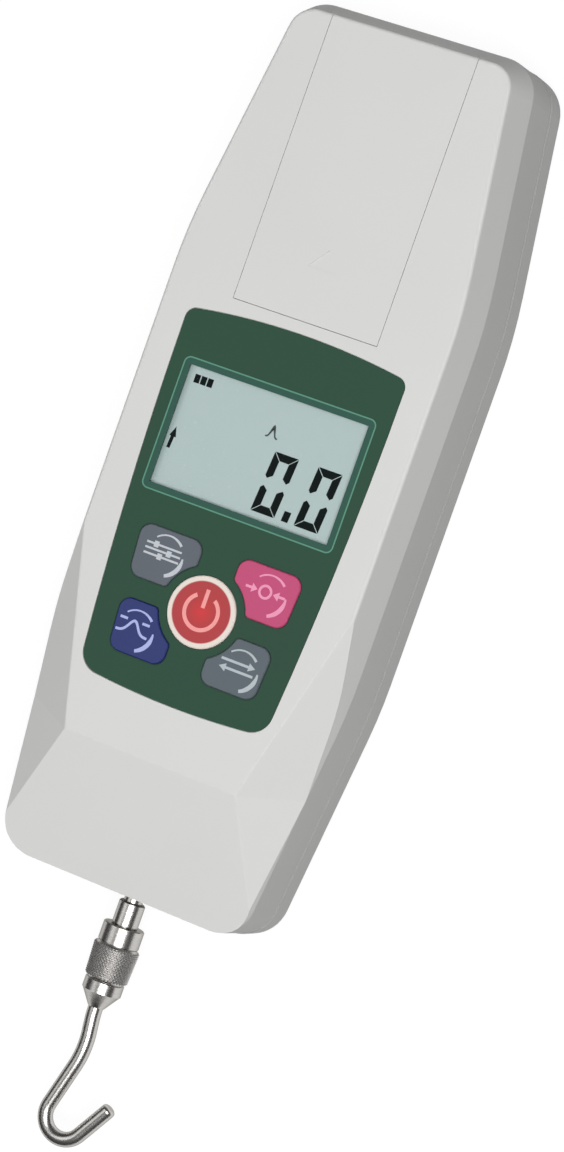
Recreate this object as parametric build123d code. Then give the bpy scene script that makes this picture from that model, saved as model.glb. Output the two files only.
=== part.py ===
"""Handheld digital force gauge, lying on its back: +Z comes out of the display, +Y runs along the
housing towards the battery end, and the spindle with its hook leaves along -Y. The origin is the
centre of the flat back, midway between the four mounting inserts. All sizes are in millimetres."""

from build123d import *
import math
import os

# ---- Housing: outline seen from the front, at the seam between the two covers ----
END_Y = 116.0              # half of the housing's length
HALF_W = 42.7              # half width of the straight middle stretch
TOP_SHOULDER_Y = 50.8      # where the sides turn in towards the battery end
TOP_HALF_W = 33.3          # half width at the battery end, at the sharp corner
LOW_SHOULDER_Y = -50.5     # where the sides turn in towards the spindle end
LOW_HALF_W = 35.8          # half width at the spindle end, at the sharp corner
SHOULDER_R = 150.0
CORNER_R = 10.5

# ---- Housing: heights and walls ----
FACE_Z = 36.0              # front face, which is also the thickness
SEAM_Z = 10.5              # seam between rear and front cover
RIM_Z = 26.35              # where the side wall meets the bevel
SEAM_LEDGE = 0.2           # step of the front cover inside the rear one
RIM_INSET = 0.5            # draft of the side wall up to the rim
FACE_INSET = 4.0           # outline of the front face inside the seam outline
WALL = 2.5                 # side walls and floor
PLATE = 2.6                # thickness behind the front face
BACK_R = 3.0               # rounding round the back
RIM_R = 1.5                # rounding of the rim
EDGE_R = 1.0               # rounding of the edges of the front face
LIP = 1.0                  # locating lip of the rear cover, inside the front wall
LIP_H = 1.8
SLIP = 0.1                 # slip fit between two moulded pieces, all round

# ---- Nose: ramp and side facets at the spindle end ----
CREASE_X, CREASE_Y = 24.6, -80.3       # corner where face, ramp and facet meet
FACET_Y = -28.0                        # where the facet starts on the edge of the face
FACET_RIM_INSET, FACET_RIM_Y = 3.15, -76.0     # lowest point of the facet, on the rim
NOSE_X, NOSE_Y, NOSE_Z = 35.3, -105.5, 28.3    # lower end of the ridge between ramp and facet
NOSE_EDGE_Z = 25.2                     # height of the ramp at the end of the housing
NOSE_RIDGE_R = 0.6                     # rounding of the ridges between the ramp and the facets

# ---- Overlay panel, window and display ----
PANEL_TOP_Y, PANEL_TOP_CORNER_Y = 33.55, 31.05
PANEL_LOW_Y, PANEL_LOW_CORNER_Y = -65.55, -63.9
PANEL_TOP_HALF, PANEL_MID_HALF, PANEL_LOW_HALF = 31.1, 30.05, 26.75
PANEL_MID_Y = -16.0
PANEL_TOP_R, PANEL_LOW_R = 3.0, 6.0
PANEL_RECESS, PANEL_T = 0.6, 0.5
PANEL_GAP = 0.15
VIEW_W, VIEW_H, VIEW_Y = 50.54, 31.36, 1.76    # visible area of the display
WINDOW_RIM = 2.0           # the window reaches this far under the panel
WINDOW_T = 0.8
DISPLAY_RIM = 0.7          # the glass reaches this far past the visible area
DISPLAY_GLASS_T = 2.6
DISPLAY_GAP = 0.2
BACKLIGHT_T = 2.4
FRAME_WALL = 2.6
FRAME_FLOOR = 1.2

# ---- Keys ----
KEY_Y = -40.4              # centre of the power key
POWER_R = 9.26
KEY_ARC_R = 11.7           # hollow side of the four keys round the power key
KEY_IN_X = 5.3
KEY_IN_Y, KEY_OUT_Y = 2.75, 16.6
KEY_SIDE_X, KEY_SIDE_SLOPE = 21.95, 0.07
KEY_ROUND, KEY_ARC_ROUND = 3.1, 1.3
KEY_PROUD = 0.35           # how far the keys stand above the face
KEY_BEVEL = 0.25
KEY_GAP = 0.3              # round each key in the cover and the panel
KEY_FLANGE, KEY_FLANGE_T = 0.9, 1.3
KEY_REST = 0.3             # under the cover, above the flange
KEY_TRAVEL = 0.5
STEM_R = 2.2
KEY_SIDES = {"upper_left": (-1, 1), "upper_right": (1, 1), "lower_left": (-1, -1), "lower_right": (1, -1)}

# ---- Circuit board and switches ----
BOARD_HALF_W = 30.0
BOARD_TOP_Y, BOARD_LOW_Y = 33.0, -62.0
BOARD_T = 1.6
BOARD_Z = 24.5             # back of the board
BOARD_CORNER = 3.0
BOARD_FIX_X, BOARD_FIX_TOP_Y, BOARD_FIX_LOW_Y = 26.5, 29.0, -58.0
BOARD_BOSS_R, BOARD_SCREW_R, BOARD_HEAD_R, BOARD_HEAD_T, BOARD_SCREW_L = 3.0, 1.25, 2.5, 2.0, 7.0
SWITCH_SIDE, SWITCH_T = 6.0, 3.4
PLUNGER_R, PLUNGER_GAP = 1.7, 0.3
PLUNGER_UP, PLUNGER_IN = 0.7, 0.6      # above and inside the switch
PLUNGER_SPARE = 0.2                    # left under the plunger and under the stem at full travel

# ---- Battery compartment, cells and door ----
DOOR_HALF_W, DOOR_LOW_Y = 20.25, 36.7
DOOR_T = 2.0
DOOR_GAP = 0.15
TONGUE_W, TONGUE_T = 1.15, 0.9
TONGUE_GAP = 0.25
DOOR_SEAT = 2.3            # frame under the door, measured down from its bed
DOOR_SEAT_W = 3.6
ARROW_W, ARROW_H, ARROW_Y = 8.3, 5.2, 50.3
ARROW_DEPTH = 0.25
TUB_GAP = 0.45              # between the battery holder and each side wall of the compartment
TUB_LOW_Y, TUB_TOP_Y = 40.5, 104.0
TUB_FLOOR_Z, TUB_WALL = 8.5, 1.6
CELL_R, CELL_L = 5.25, 43.3            # AAA cells
CELL_NUB_R, CELL_NUB_L = 1.9, 1.2
CELL_PITCH, CELL_LAYER = 11.1, 11.4
CELL_COLUMNS, CELL_LAYERS = 3, 2
HOLDER_WALL, HOLDER_SHELF = 1.6, 0.8
HOLDER_SIDE_H = 7.0
SPRING_L, SPRING_R0, SPRING_R1 = 4.2, 3.6, 2.0
CONTACT_T, CONTACT_W = 0.5, 8.0

# ---- Load path: bracket, load cell, spindle, bush ----
AXIS_Z = 13.0              # height of the spindle's axis above the back
CELL_W, CELL_THICK = 36.0, 14.0        # load cell across and through
CELL_TOP_Y, CELL_LOW_Y = -46.5, -94.5
SLOT_Y, SLOT_H, SLOT_END_X = -62.0, 1.6, 11.0
LIVE_Y, LIVE_GAP = -79.0, 1.2          # the live arm starts under this gap
BEAM_HOLE_R, BEAM_HOLE_X, BEAM_SLIT = 5.5, 9.0, 3.0
GAUGE_L, GAUGE_W, GAUGE_T = 4.0, 6.0, 0.2
BRACKET_T, BRACKET_FOOT_T, BRACKET_FOOT_L = 3.0, 2.5, 21.0
BRACKET_Z = 6.0            # underside of the bracket, on the bosses of the rear cover
BRACKET_BOSS_R = 3.6
BRACKET_FIX_X, BRACKET_FIX_Y = 13.0, (-35.0, -27.0)
CELL_BOLT_X, CELL_BOLT_R, CELL_BOLT_HEAD_R, CELL_BOLT_HEAD_T, CELL_BOLT_L = 11.0, 2.0, 3.5, 4.0, 10.0
M3_R, M3_HEAD_R, M3_HEAD_T, M3_L = 1.5, 2.8, 2.0, 5.0
ROD_R, ROD_IN = 2.5, 9.0               # rod of the spindle, and its screwed length in the live arm
ROD_GAP = 0.06                         # running clearance in the bush
BUSH_R, BUSH_FLANGE_R, BUSH_FLANGE_T, BUSH_IN = 4.5, 6.5, 2.0, 8.0
BUSH_BLOCK = 16.0
COLLAR_Y, COLLAR_R, COLLAR_L = -118.1, 3.5, 6.2
STUD_R, STUD_L = 3.0, 9.0              # M6 stud under the collar

# ---- Hook and its knurled adapter ----
ADAPTER_GAP = 0.3          # under the collar
STUD_GAP = 0.08            # round the stud
RING_R, RING_L = 5.5, 5.1
KNURL_R, KNURL_LOW_R, KNURL_L, KNURL_CHAMFER = 6.2, 5.8, 9.9, 0.7
BAND_R, BAND_L = 5.25, 3.3
CONE_R, CONE_L = 2.2, 4.0
WIRE_R = 2.0
WIRE_IN = 6.5              # length of the wire inside the adapter
BEND_X, BEND_Y, BEND_R = 1.2, -158.5, 25.0     # gentle bend above the bowl
BOWL_X, BOWL_Y, BOWL_R = 2.4, -176.4, 5.8
BOWL_IN, BOWL_TURN = 165.2, 163.6      # degrees: where the bowl starts, and how far it turns
TIP_L = 11.3

# ---- Case screws and mounting inserts ----
CASE_FIX = ((27.6, 99.0), (36.0, 5.0), (28.2, -99.0))  # right side; the left is its mirror image
CASE_BOSS_R, CASE_SCREW_R, CASE_SCREW_L = 3.6, 1.5, 16.0
CASE_HEAD_R, CASE_HEAD_T, CASE_HEAD_DEPTH = 2.9, 2.2, 2.0
HOLE_GAP = 0.1             # round screws and shanks
INSERT_X, INSERT_Y = 27.0, 30.0
INSERT_R, INSERT_BORE_R, INSERT_L, INSERT_BOSS_R = 2.8, 1.65, 6.5, 4.5

# Components on the back of the board: x, y, width, length, thickness
BOARD_PARTS = (
    (-4.0, -8.0, 14.0, 14.0, 1.6), (14.0, -14.0, 7.0, 9.0, 1.5), (-18.0, 4.0, 11.0, 4.5, 2.6),
    (20.0, 10.0, 9.0, 9.0, 3.0), (0.0, 27.0, 12.0, 5.5, 3.0), (-12.0, -36.0, 10.0, 5.0, 2.4),
)

# ---- Levels that follow from the sizes above ----
PLATE_Z = FACE_Z - PLATE
PANEL_Z = FACE_Z - PANEL_RECESS
WINDOW_Z = PANEL_Z - WINDOW_T
BOARD_TOP_Z = BOARD_Z + BOARD_T
LIP_Z = SEAM_Z + LIP_H
REBATE_Z = LIP_Z + 2 * SLIP
DOOR_Z = FACE_Z - DOOR_T
BED_Z = DOOR_Z - DOOR_GAP
KEY_FLANGE_Z = PLATE_Z - KEY_REST - KEY_FLANGE_T
SWITCH_Z = BOARD_TOP_Z + SWITCH_T
PLUNGER_Z = SWITCH_Z + PLUNGER_UP
GLASS_Z = WINDOW_Z - DISPLAY_GAP - DISPLAY_GLASS_T
BACKLIGHT_Z = GLASS_Z - BACKLIGHT_T
CELL_Y = (TUB_LOW_Y + TUB_TOP_Y) / 2
NUB_END = CELL_L / 2 + CELL_NUB_L      # from the middle of a cell to the end of its nub
HOLDER_HALF_L = NUB_END + SPRING_L - CELL_NUB_L / 2 + CONTACT_T + HOLDER_WALL
HOLDER_HALF_W = CELL_PITCH * CELL_COLUMNS / 2 + HOLDER_WALL - SLIP
TUB_HALF_W = HOLDER_HALF_W + TUB_GAP
CASE_SCREW_Z = CASE_HEAD_DEPTH + CASE_HEAD_T        # underside of a case screw's head
BUSH_FLANGE_Y = -END_Y + RIM_INSET + WALL + SLIP    # inside of the end wall, seat of the bush's flange
BUSH_BLOCK_Y = BUSH_FLANGE_Y + SLIP + BUSH_IN       # the blocks that clamp the bush end here
BUSH_BLOCK_LOW_Y = BUSH_BLOCK_Y - BUSH_IN + BUSH_FLANGE_T
REACH = 400.0              # larger than the gauge, for blocks that cut it


def block(x0, x1, y0, y1, z0, z1):
    """A rectangular block between two corners."""
    return Pos((x0 + x1) / 2, (y0 + y1) / 2, (z0 + z1) / 2) * Box(x1 - x0, y1 - y0, z1 - z0)


def post(x, y, z0, z1, r):
    """A round post or hole along Z."""
    return Pos(x, y, (z0 + z1) / 2) * Cylinder(r, z1 - z0)


def rod(x, y0, y1, z, r):
    """A round rod or hole along Y."""
    return Pos(x, (y0 + y1) / 2, z) * Rot(90, 0, 0) * Cylinder(r, abs(y1 - y0))


def mirrored(places):
    """Places on the right side of the gauge and their mirror images on the left."""
    return [(side * x, y) for x, y in places for side in (1, -1)]


def turned(profile):
    """Turns a profile of (radius, y) points about the spindle's axis."""
    face = make_face(Polyline(*[(r, y) for r, y in profile], close=True))
    return Pos(0, 0, AXIS_Z) * revolve(face, Axis.Y)


# ---- Housing ----
def outline(inset, z):
    """The outline of the housing at height z, moved inwards by inset."""
    corners = [
        (HALF_W, TOP_SHOULDER_Y), (TOP_HALF_W, END_Y), (-TOP_HALF_W, END_Y), (-HALF_W, TOP_SHOULDER_Y),
        (-HALF_W, LOW_SHOULDER_Y), (-LOW_HALF_W, -END_Y), (LOW_HALF_W, -END_Y), (HALF_W, LOW_SHOULDER_Y),
    ]
    shape = make_face(Polyline(*corners, close=True))
    shape = fillet(shape.vertices().filter_by(lambda v: abs(v.Y) > END_Y - 1), CORNER_R)
    shape = fillet(shape.vertices().filter_by(lambda v: abs(v.X) > HALF_W - 0.01), SHOULDER_R)
    if inset:
        shape = offset(shape, -inset)
    return Pos(0, 0, z) * shape


def in_front_of(points, depth):
    """Everything in front of the plane through three points, once it is moved inwards by depth."""
    a, b, c = [Vector(*p) for p in points]
    normal = (b - a).cross(c - a).normalized()
    if normal.Z < 0:
        normal = -normal
    return Plane(origin=a - normal * depth, z_dir=normal) * Pos(0, 0, REACH / 2) * Box(REACH, REACH, REACH)


def cut_nose(form, depth):
    """Cuts the ramp and the two side facets at the spindle end, each moved inwards by depth."""
    crease = (CREASE_X, CREASE_Y, FACE_Z)
    left_crease = (-CREASE_X, CREASE_Y, FACE_Z)
    ramp_low = (0, -END_Y, NOSE_EDGE_Z)
    form -= in_front_of((crease, left_crease, ramp_low), depth)
    for side in (1, -1):
        corner = (side * CREASE_X, CREASE_Y, FACE_Z)
        start = (side * (HALF_W - FACE_INSET), FACET_Y, FACE_Z)
        rim = (side * (HALF_W - FACET_RIM_INSET), FACET_RIM_Y, RIM_Z)
        nose = (side * NOSE_X, NOSE_Y, NOSE_Z)
        form -= in_front_of((corner, start, rim), depth) & in_front_of((corner, nose, rim), depth)
    return form


def front_form():
    """The outside of the front cover, as a solid."""
    sections = [outline(SEAM_LEDGE, SEAM_Z), outline(RIM_INSET, RIM_Z), outline(FACE_INSET, FACE_Z)]
    form = loft(sections, ruled=True)
    form = fillet(form.edges().filter_by(lambda e: abs(e.center().Z - RIM_Z) < 0.01), RIM_R)
    form = cut_nose(form, 0)
    form = fillet(form.edges().filter_by(lambda e: e.center().Z > FACE_Z - 0.01), EDGE_R)
    return fillet(nose_ridges(form), NOSE_RIDGE_R)


def nose_ridges(form):
    """The two ridges that run from the face down to the outer corners of the ramp."""
    straight = form.edges().filter_by(GeomType.LINE)
    return straight.filter_by(lambda e: e.center().Y < CREASE_Y - EDGE_R and e.center().Z > RIM_Z + RIM_R)


def front_hollow():
    """The inside of the front cover, as a solid."""
    slope = math.atan2(FACE_INSET - RIM_INSET, FACE_Z - RIM_Z)
    rim_drop = WALL * math.tan(slope / 2)
    face_inset = FACE_INSET + WALL / math.cos(slope) - PLATE * math.tan(slope)
    sections = [
        outline(SEAM_LEDGE + WALL, SEAM_Z), outline(RIM_INSET + WALL, RIM_Z - rim_drop),
        outline(face_inset, PLATE_Z),
    ]
    return cut_nose(loft(sections, ruled=True), WALL)


# ---- Overlay panel, window and display ----
def panel_outline(inset):
    """The outline of the overlay panel, moved inwards by inset."""
    top = ThreePointArc((inset - PANEL_TOP_HALF, PANEL_TOP_CORNER_Y - inset), (0, PANEL_TOP_Y - inset),
                        (PANEL_TOP_HALF - inset, PANEL_TOP_CORNER_Y - inset))
    low = ThreePointArc((PANEL_LOW_HALF - inset, PANEL_LOW_CORNER_Y + inset), (0, PANEL_LOW_Y + inset),
                        (inset - PANEL_LOW_HALF, PANEL_LOW_CORNER_Y + inset))
    right = ThreePointArc(top @ 1, (PANEL_MID_HALF - inset, PANEL_MID_Y), low @ 0)
    left = ThreePointArc(low @ 1, (inset - PANEL_MID_HALF, PANEL_MID_Y), top @ 0)
    shape = make_face(Wire([top, right, low, left]))
    shape = fillet(shape.vertices().filter_by(lambda v: v.Y > 0), PANEL_TOP_R)
    return fillet(shape.vertices().filter_by(lambda v: v.Y < PANEL_LOW_CORNER_Y + 1), PANEL_LOW_R)


def key_outline(side, level, grow):
    """One of the four keys round the power key, grown by grow all round."""
    low_x = KEY_SIDE_X + KEY_SIDE_SLOPE * level * KEY_IN_Y
    high_x = KEY_SIDE_X + KEY_SIDE_SLOPE * level * KEY_OUT_Y
    corners = [(KEY_IN_X, KEY_IN_Y), (KEY_IN_X, KEY_OUT_Y), (high_x, KEY_OUT_Y), (low_x, KEY_IN_Y)]
    shape = make_face(Polyline(*[(side * x, level * y) for x, y in corners], close=True))
    shape -= Circle(KEY_ARC_R)
    tips = shape.vertices().filter_by(lambda v: math.hypot(v.X, v.Y) < KEY_ARC_R + 0.01)
    low_tip = tips.sort_by(lambda v: abs(v.Y))[0]
    shape = fillet(low_tip, KEY_ARC_ROUND)
    outer = shape.vertices().filter_by(lambda v: math.hypot(v.X, v.Y) > KEY_OUT_Y)
    shape = fillet(outer, KEY_ROUND)
    high_tip = shape.vertices().sort_by(lambda v: math.hypot(v.X - side * KEY_IN_X, abs(v.Y) - KEY_ARC_R))[0]
    shape = fillet(high_tip, KEY_ARC_ROUND)
    return Pos(0, KEY_Y) * offset(shape, grow) if grow else Pos(0, KEY_Y) * shape


def key_outlines(grow):
    """All five keys by name, grown by grow all round."""
    keys = {name: key_outline(side, level, grow) for name, (side, level) in KEY_SIDES.items()}
    keys["power"] = Pos(0, KEY_Y) * Circle(POWER_R + grow)
    return keys


def raised(shape, z0, z1):
    """A flat shape turned into a plate between two heights."""
    return extrude(Pos(0, 0, z0) * shape, z1 - z0, dir=(0, 0, 1))


def keypad_panel():
    plate = raised(panel_outline(PANEL_GAP), PANEL_Z, PANEL_Z + PANEL_T)
    plate -= display_block(0, PANEL_Z, FACE_Z)
    for shape in key_outlines(KEY_GAP).values():
        plate -= raised(shape, PANEL_Z, FACE_Z)
    return plate


def display_block(rim, z0, z1):
    """A block over the visible area of the display, with a rim round it."""
    return Pos(0, VIEW_Y, (z0 + z1) / 2) * Box(VIEW_W + 2 * rim, VIEW_H + 2 * rim, z1 - z0)


def lcd_window():
    return display_block(WINDOW_RIM - SLIP, WINDOW_Z, PANEL_Z)


def lcd_glass():
    return display_block(DISPLAY_RIM, GLASS_Z, GLASS_Z + DISPLAY_GLASS_T)


def lcd_backlight():
    return display_block(DISPLAY_RIM, BACKLIGHT_Z, GLASS_Z)


def lcd_frame():
    frame = display_block(DISPLAY_RIM + SLIP + FRAME_WALL, BOARD_TOP_Z, PLATE_Z - DISPLAY_GAP)
    frame -= display_block(DISPLAY_RIM + SLIP, BACKLIGHT_Z, PLATE_Z)
    frame -= display_block(DISPLAY_RIM, BOARD_TOP_Z, BACKLIGHT_Z - FRAME_FLOOR)
    return frame


# ---- Keys, plungers and switches ----
def key_cap(name):
    """A key: its cap, the flange that keeps it under the cover and the stem over its switch."""
    shape = key_outlines(0)[name]
    cap = raised(shape, KEY_FLANGE_Z, FACE_Z + KEY_PROUD)
    cap = chamfer(cap.edges().filter_by(lambda e: e.center().Z > FACE_Z), KEY_BEVEL)
    flange = raised(key_outlines(KEY_FLANGE)[name], KEY_FLANGE_Z, KEY_FLANGE_Z + KEY_FLANGE_T)
    x, y = switch_place(name)
    return cap + flange + post(x, y, PLUNGER_Z, KEY_FLANGE_Z, STEM_R)


def switch_place(name):
    """The centre of a key, where its switch sits."""
    if name == "power":
        return 0, KEY_Y
    side, level = KEY_SIDES[name]
    return side * (KEY_IN_X + KEY_SIDE_X) / 2, KEY_Y + level * (KEY_IN_Y + KEY_OUT_Y) / 2


def plunger(name):
    x, y = switch_place(name)
    return post(x, y, SWITCH_Z - PLUNGER_IN, PLUNGER_Z, PLUNGER_R)


def switch_housings():
    housings = []
    for name in ("power", *KEY_SIDES):
        x, y = switch_place(name)
        body = Pos(x, y, (BOARD_TOP_Z + SWITCH_Z) / 2) * Box(SWITCH_SIDE, SWITCH_SIDE, SWITCH_T)
        bore_z = SWITCH_Z - PLUNGER_IN - KEY_TRAVEL - PLUNGER_SPARE
        housings.append(body - post(x, y, bore_z, SWITCH_Z, PLUNGER_R + PLUNGER_GAP))
    return housings


# ---- Circuit board ----
def board_fixings():
    return mirrored([(BOARD_FIX_X, BOARD_FIX_TOP_Y), (BOARD_FIX_X, BOARD_FIX_LOW_Y)])


def main_board():
    board = block(-BOARD_HALF_W, BOARD_HALF_W, BOARD_LOW_Y, BOARD_TOP_Y, BOARD_Z, BOARD_TOP_Z)
    board = chamfer(board.edges().filter_by(Axis.Z), BOARD_CORNER)
    for x, y in board_fixings():
        board -= post(x, y, BOARD_Z, BOARD_TOP_Z, BOARD_SCREW_R + HOLE_GAP)
    return board


def board_components():
    """Processor, converter, quartz, coil and two sockets on the back of the board."""
    parts = []
    for x, y, w, h, t in BOARD_PARTS:
        parts.append(Pos(x, y, BOARD_Z - t / 2) * Box(w, h, t))
    return parts


def board_screws():
    screws = []
    for x, y in board_fixings():
        head = post(x, y, BOARD_Z - BOARD_HEAD_T, BOARD_Z, BOARD_HEAD_R)
        screws.append(head + post(x, y, BOARD_Z, BOARD_Z + BOARD_SCREW_L, BOARD_SCREW_R))
    return screws


# ---- Battery door, holder, cells and contacts ----
def door_bed(grow, top):
    """The plate of the door with its tongues, grown by grow, from its bed up to top."""
    plate = block(-DOOR_HALF_W - grow, DOOR_HALF_W + grow, DOOR_LOW_Y - grow, REACH, DOOR_Z - grow, top)
    tongue_half = DOOR_HALF_W + TONGUE_W + grow
    low = DOOR_LOW_Y - grow
    return plate + block(-tongue_half, tongue_half, low, REACH, DOOR_Z - grow, DOOR_Z + TONGUE_T + grow)


def battery_door():
    """The sliding door: a plate with a tongue along each side, flush with the face and the bevel."""
    door = door_bed(0, FACE_Z + 1) & front_form()
    arrow = make_face(Polyline((-ARROW_W / 2, ARROW_Y), (ARROW_W / 2, ARROW_Y), (0, ARROW_Y + ARROW_H),
                               close=True))
    return door - raised(arrow, FACE_Z - ARROW_DEPTH, FACE_Z + 1)


def cell_places():
    """The middle of each cell, and which way it points."""
    places = []
    for layer in range(CELL_LAYERS):
        for column in range(CELL_COLUMNS):
            x = (column - (CELL_COLUMNS - 1) / 2) * CELL_PITCH
            z = TUB_FLOOR_Z + HOLDER_WALL + CELL_R + SLIP + layer * CELL_LAYER
            places.append((x, z, 1 if (column + layer) % 2 else -1))
    return places


def battery_cells():
    cells = []
    for x, z, way in cell_places():
        can = rod(x, CELL_Y - CELL_L / 2, CELL_Y + CELL_L / 2, z, CELL_R)
        nub = rod(x, CELL_Y, CELL_Y + way * NUB_END, z, CELL_NUB_R)
        cells.append(can + nub)
    return cells


def battery_contacts():
    """A contact plate at each end of each cell, with its spring or pressed button drawn as a cone."""
    parts = []
    plate_y = HOLDER_HALF_L - HOLDER_WALL
    for x, z, way in cell_places():
        for end in (1, -1):
            outer = CELL_Y + end * plate_y
            inner = outer - end * CONTACT_T
            plate = block(x - CONTACT_W / 2, x + CONTACT_W / 2, min(outer, inner), max(outer, inner),
                          z - CONTACT_W / 2, z + CONTACT_W / 2)
            reach = NUB_END if end == way else CELL_L / 2
            tip = CELL_Y + end * reach
            length = abs(inner - tip)
            cone = Pos(x, (inner + tip) / 2, z) * Rot(90 * end, 0, 0) * Cone(SPRING_R0, SPRING_R1, length)
            parts.append(plate + cone)
    return parts


def battery_holder():
    """The holder: end walls, side walls and a shelf between the two layers of cells."""
    top = cell_places()[-1][1] + CELL_R / 2
    box = block(-HOLDER_HALF_W, HOLDER_HALF_W, CELL_Y - HOLDER_HALF_L, CELL_Y + HOLDER_HALF_L,
                TUB_FLOOR_Z, top)
    inner_w = HOLDER_HALF_W - HOLDER_WALL
    inner_l = HOLDER_HALF_L - HOLDER_WALL
    box -= block(-inner_w, inner_w, CELL_Y - inner_l, CELL_Y + inner_l, TUB_FLOOR_Z + HOLDER_WALL, top)
    shelf_z = (cell_places()[0][1] + cell_places()[-1][1]) / 2
    shelf = block(-inner_w, inner_w, CELL_Y - CELL_L / 3, CELL_Y + CELL_L / 3,
                  shelf_z - HOLDER_SHELF / 2, shelf_z + HOLDER_SHELF / 2)
    for x, z, _ in cell_places():
        shelf -= rod(x, CELL_Y - CELL_L, CELL_Y + CELL_L, z, CELL_R + SLIP)
    return box + shelf.solids()


# ---- Load path ----
def load_cell():
    """The fixed arm and the sprung beam of the load cell, one block with slots and two linked holes."""
    low = LIVE_Y
    cell = block(-CELL_W / 2, CELL_W / 2, low, CELL_TOP_Y, AXIS_Z - CELL_THICK / 2, AXIS_Z + CELL_THICK / 2)
    z0, z1 = AXIS_Z - CELL_THICK, AXIS_Z + CELL_THICK
    cell -= block(-CELL_W, SLOT_END_X, SLOT_Y - SLOT_H, SLOT_Y, z0, z1)
    middle = (SLOT_Y - SLOT_H + low) / 2
    for side in (1, -1):
        cell -= post(side * BEAM_HOLE_X, middle, z0, z1, BEAM_HOLE_R)
    cell -= block(-BEAM_HOLE_X, BEAM_HOLE_X, middle - BEAM_SLIT / 2, middle + BEAM_SLIT / 2, z0, z1)
    for side in (1, -1):
        tip = CELL_TOP_Y + BRACKET_T - CELL_BOLT_L - HOLE_GAP
        cell -= rod(side * CELL_BOLT_X, tip, CELL_TOP_Y, AXIS_Z, CELL_BOLT_R + HOLE_GAP)
    return cell


def load_cell_live_arm():
    """The arm that the spindle pulls, across the gap that closes and opens under load."""
    top = LIVE_Y - LIVE_GAP
    arm = block(-CELL_W / 2, CELL_W / 2, CELL_LOW_Y, top, AXIS_Z - CELL_THICK / 2, AXIS_Z + CELL_THICK / 2)
    return arm - rod(0, CELL_LOW_Y, CELL_LOW_Y + ROD_IN, AXIS_Z, ROD_R)


def strain_gauges():
    """Four foils, over and under the two holes of the beam."""
    foils = []
    for side in (1, -1):
        for face, way in ((SLOT_Y - SLOT_H, 1), (LIVE_Y, -1)):
            y = face + way * GAUGE_T / 2
            foils.append(Pos(side * BEAM_HOLE_X, y, AXIS_Z) * Box(GAUGE_L, GAUGE_T, GAUGE_W))
    return foils


def cell_bracket():
    """The angle that holds the fixed arm: a foot on four bosses and an upright behind the cell."""
    back = CELL_TOP_Y + BRACKET_T
    foot_z = BRACKET_Z + BRACKET_FOOT_T
    foot = block(-CELL_W / 2, CELL_W / 2, CELL_TOP_Y, back + BRACKET_FOOT_L, BRACKET_Z, foot_z)
    angle = foot + block(-CELL_W / 2, CELL_W / 2, CELL_TOP_Y, back, BRACKET_Z, AXIS_Z + CELL_THICK / 2)
    inner = angle.edges().filter_by(Axis.X).sort_by_distance((0, back, foot_z))[0]
    angle = fillet(inner, BRACKET_FOOT_T / 2)
    for x, y in bracket_fixings():
        angle -= post(x, y, BRACKET_Z - 1, foot_z + 1, M3_R + HOLE_GAP)
    for side in (1, -1):
        angle -= rod(side * CELL_BOLT_X, CELL_TOP_Y - 1, back + 1, AXIS_Z, CELL_BOLT_R + HOLE_GAP)
    return angle


def bracket_fixings():
    return mirrored([(BRACKET_FIX_X, y) for y in BRACKET_FIX_Y])


def bracket_screws():
    screws = []
    top = BRACKET_Z + BRACKET_FOOT_T
    for x, y in bracket_fixings():
        screws.append(post(x, y, top, top + M3_HEAD_T, M3_HEAD_R) + post(x, y, top - M3_L, top, M3_R))
    return screws


def cell_bolts():
    """Two socket-head bolts through the bracket into the fixed arm."""
    back = CELL_TOP_Y + BRACKET_T
    bolts = []
    for side in (1, -1):
        x = side * CELL_BOLT_X
        head = rod(x, back, back + CELL_BOLT_HEAD_T, AXIS_Z, CELL_BOLT_HEAD_R)
        key = extrude(RegularPolygon(CELL_BOLT_R, 6), CELL_BOLT_HEAD_T)
        socket = Pos(x, back + CELL_BOLT_HEAD_T / 2, AXIS_Z) * Rot(-90, 0, 0) * key
        bolts.append(head - socket + rod(x, back - CELL_BOLT_L, back, AXIS_Z, CELL_BOLT_R))
    return bolts


def spindle():
    """One turned piece: the rod from the load cell, the collar outside and the M6 stud."""
    end = COLLAR_Y - COLLAR_L
    tip = end - STUD_L
    bevel = STUD_R / 4
    start = CELL_LOW_Y + ROD_IN
    return turned([
        (0, start), (ROD_R, start), (ROD_R, COLLAR_Y), (COLLAR_R - bevel / 2, COLLAR_Y),
        (COLLAR_R, COLLAR_Y - bevel / 2), (COLLAR_R, end), (STUD_R, end), (STUD_R, tip + bevel),
        (STUD_R - bevel, tip), (0, tip),
    ])


def guide_bush():
    """The bush that guides the rod through the end wall, with a flange behind the wall."""
    bore = ROD_R + ROD_GAP
    front = -END_Y + SEAM_LEDGE
    flange_back = BUSH_FLANGE_Y + BUSH_FLANGE_T
    back = BUSH_FLANGE_Y + BUSH_IN
    return turned([
        (bore, front), (BUSH_R, front), (BUSH_R, BUSH_FLANGE_Y), (BUSH_FLANGE_R, BUSH_FLANGE_Y),
        (BUSH_FLANGE_R, flange_back), (BUSH_R, flange_back), (BUSH_R, back), (bore, back),
    ])


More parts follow.
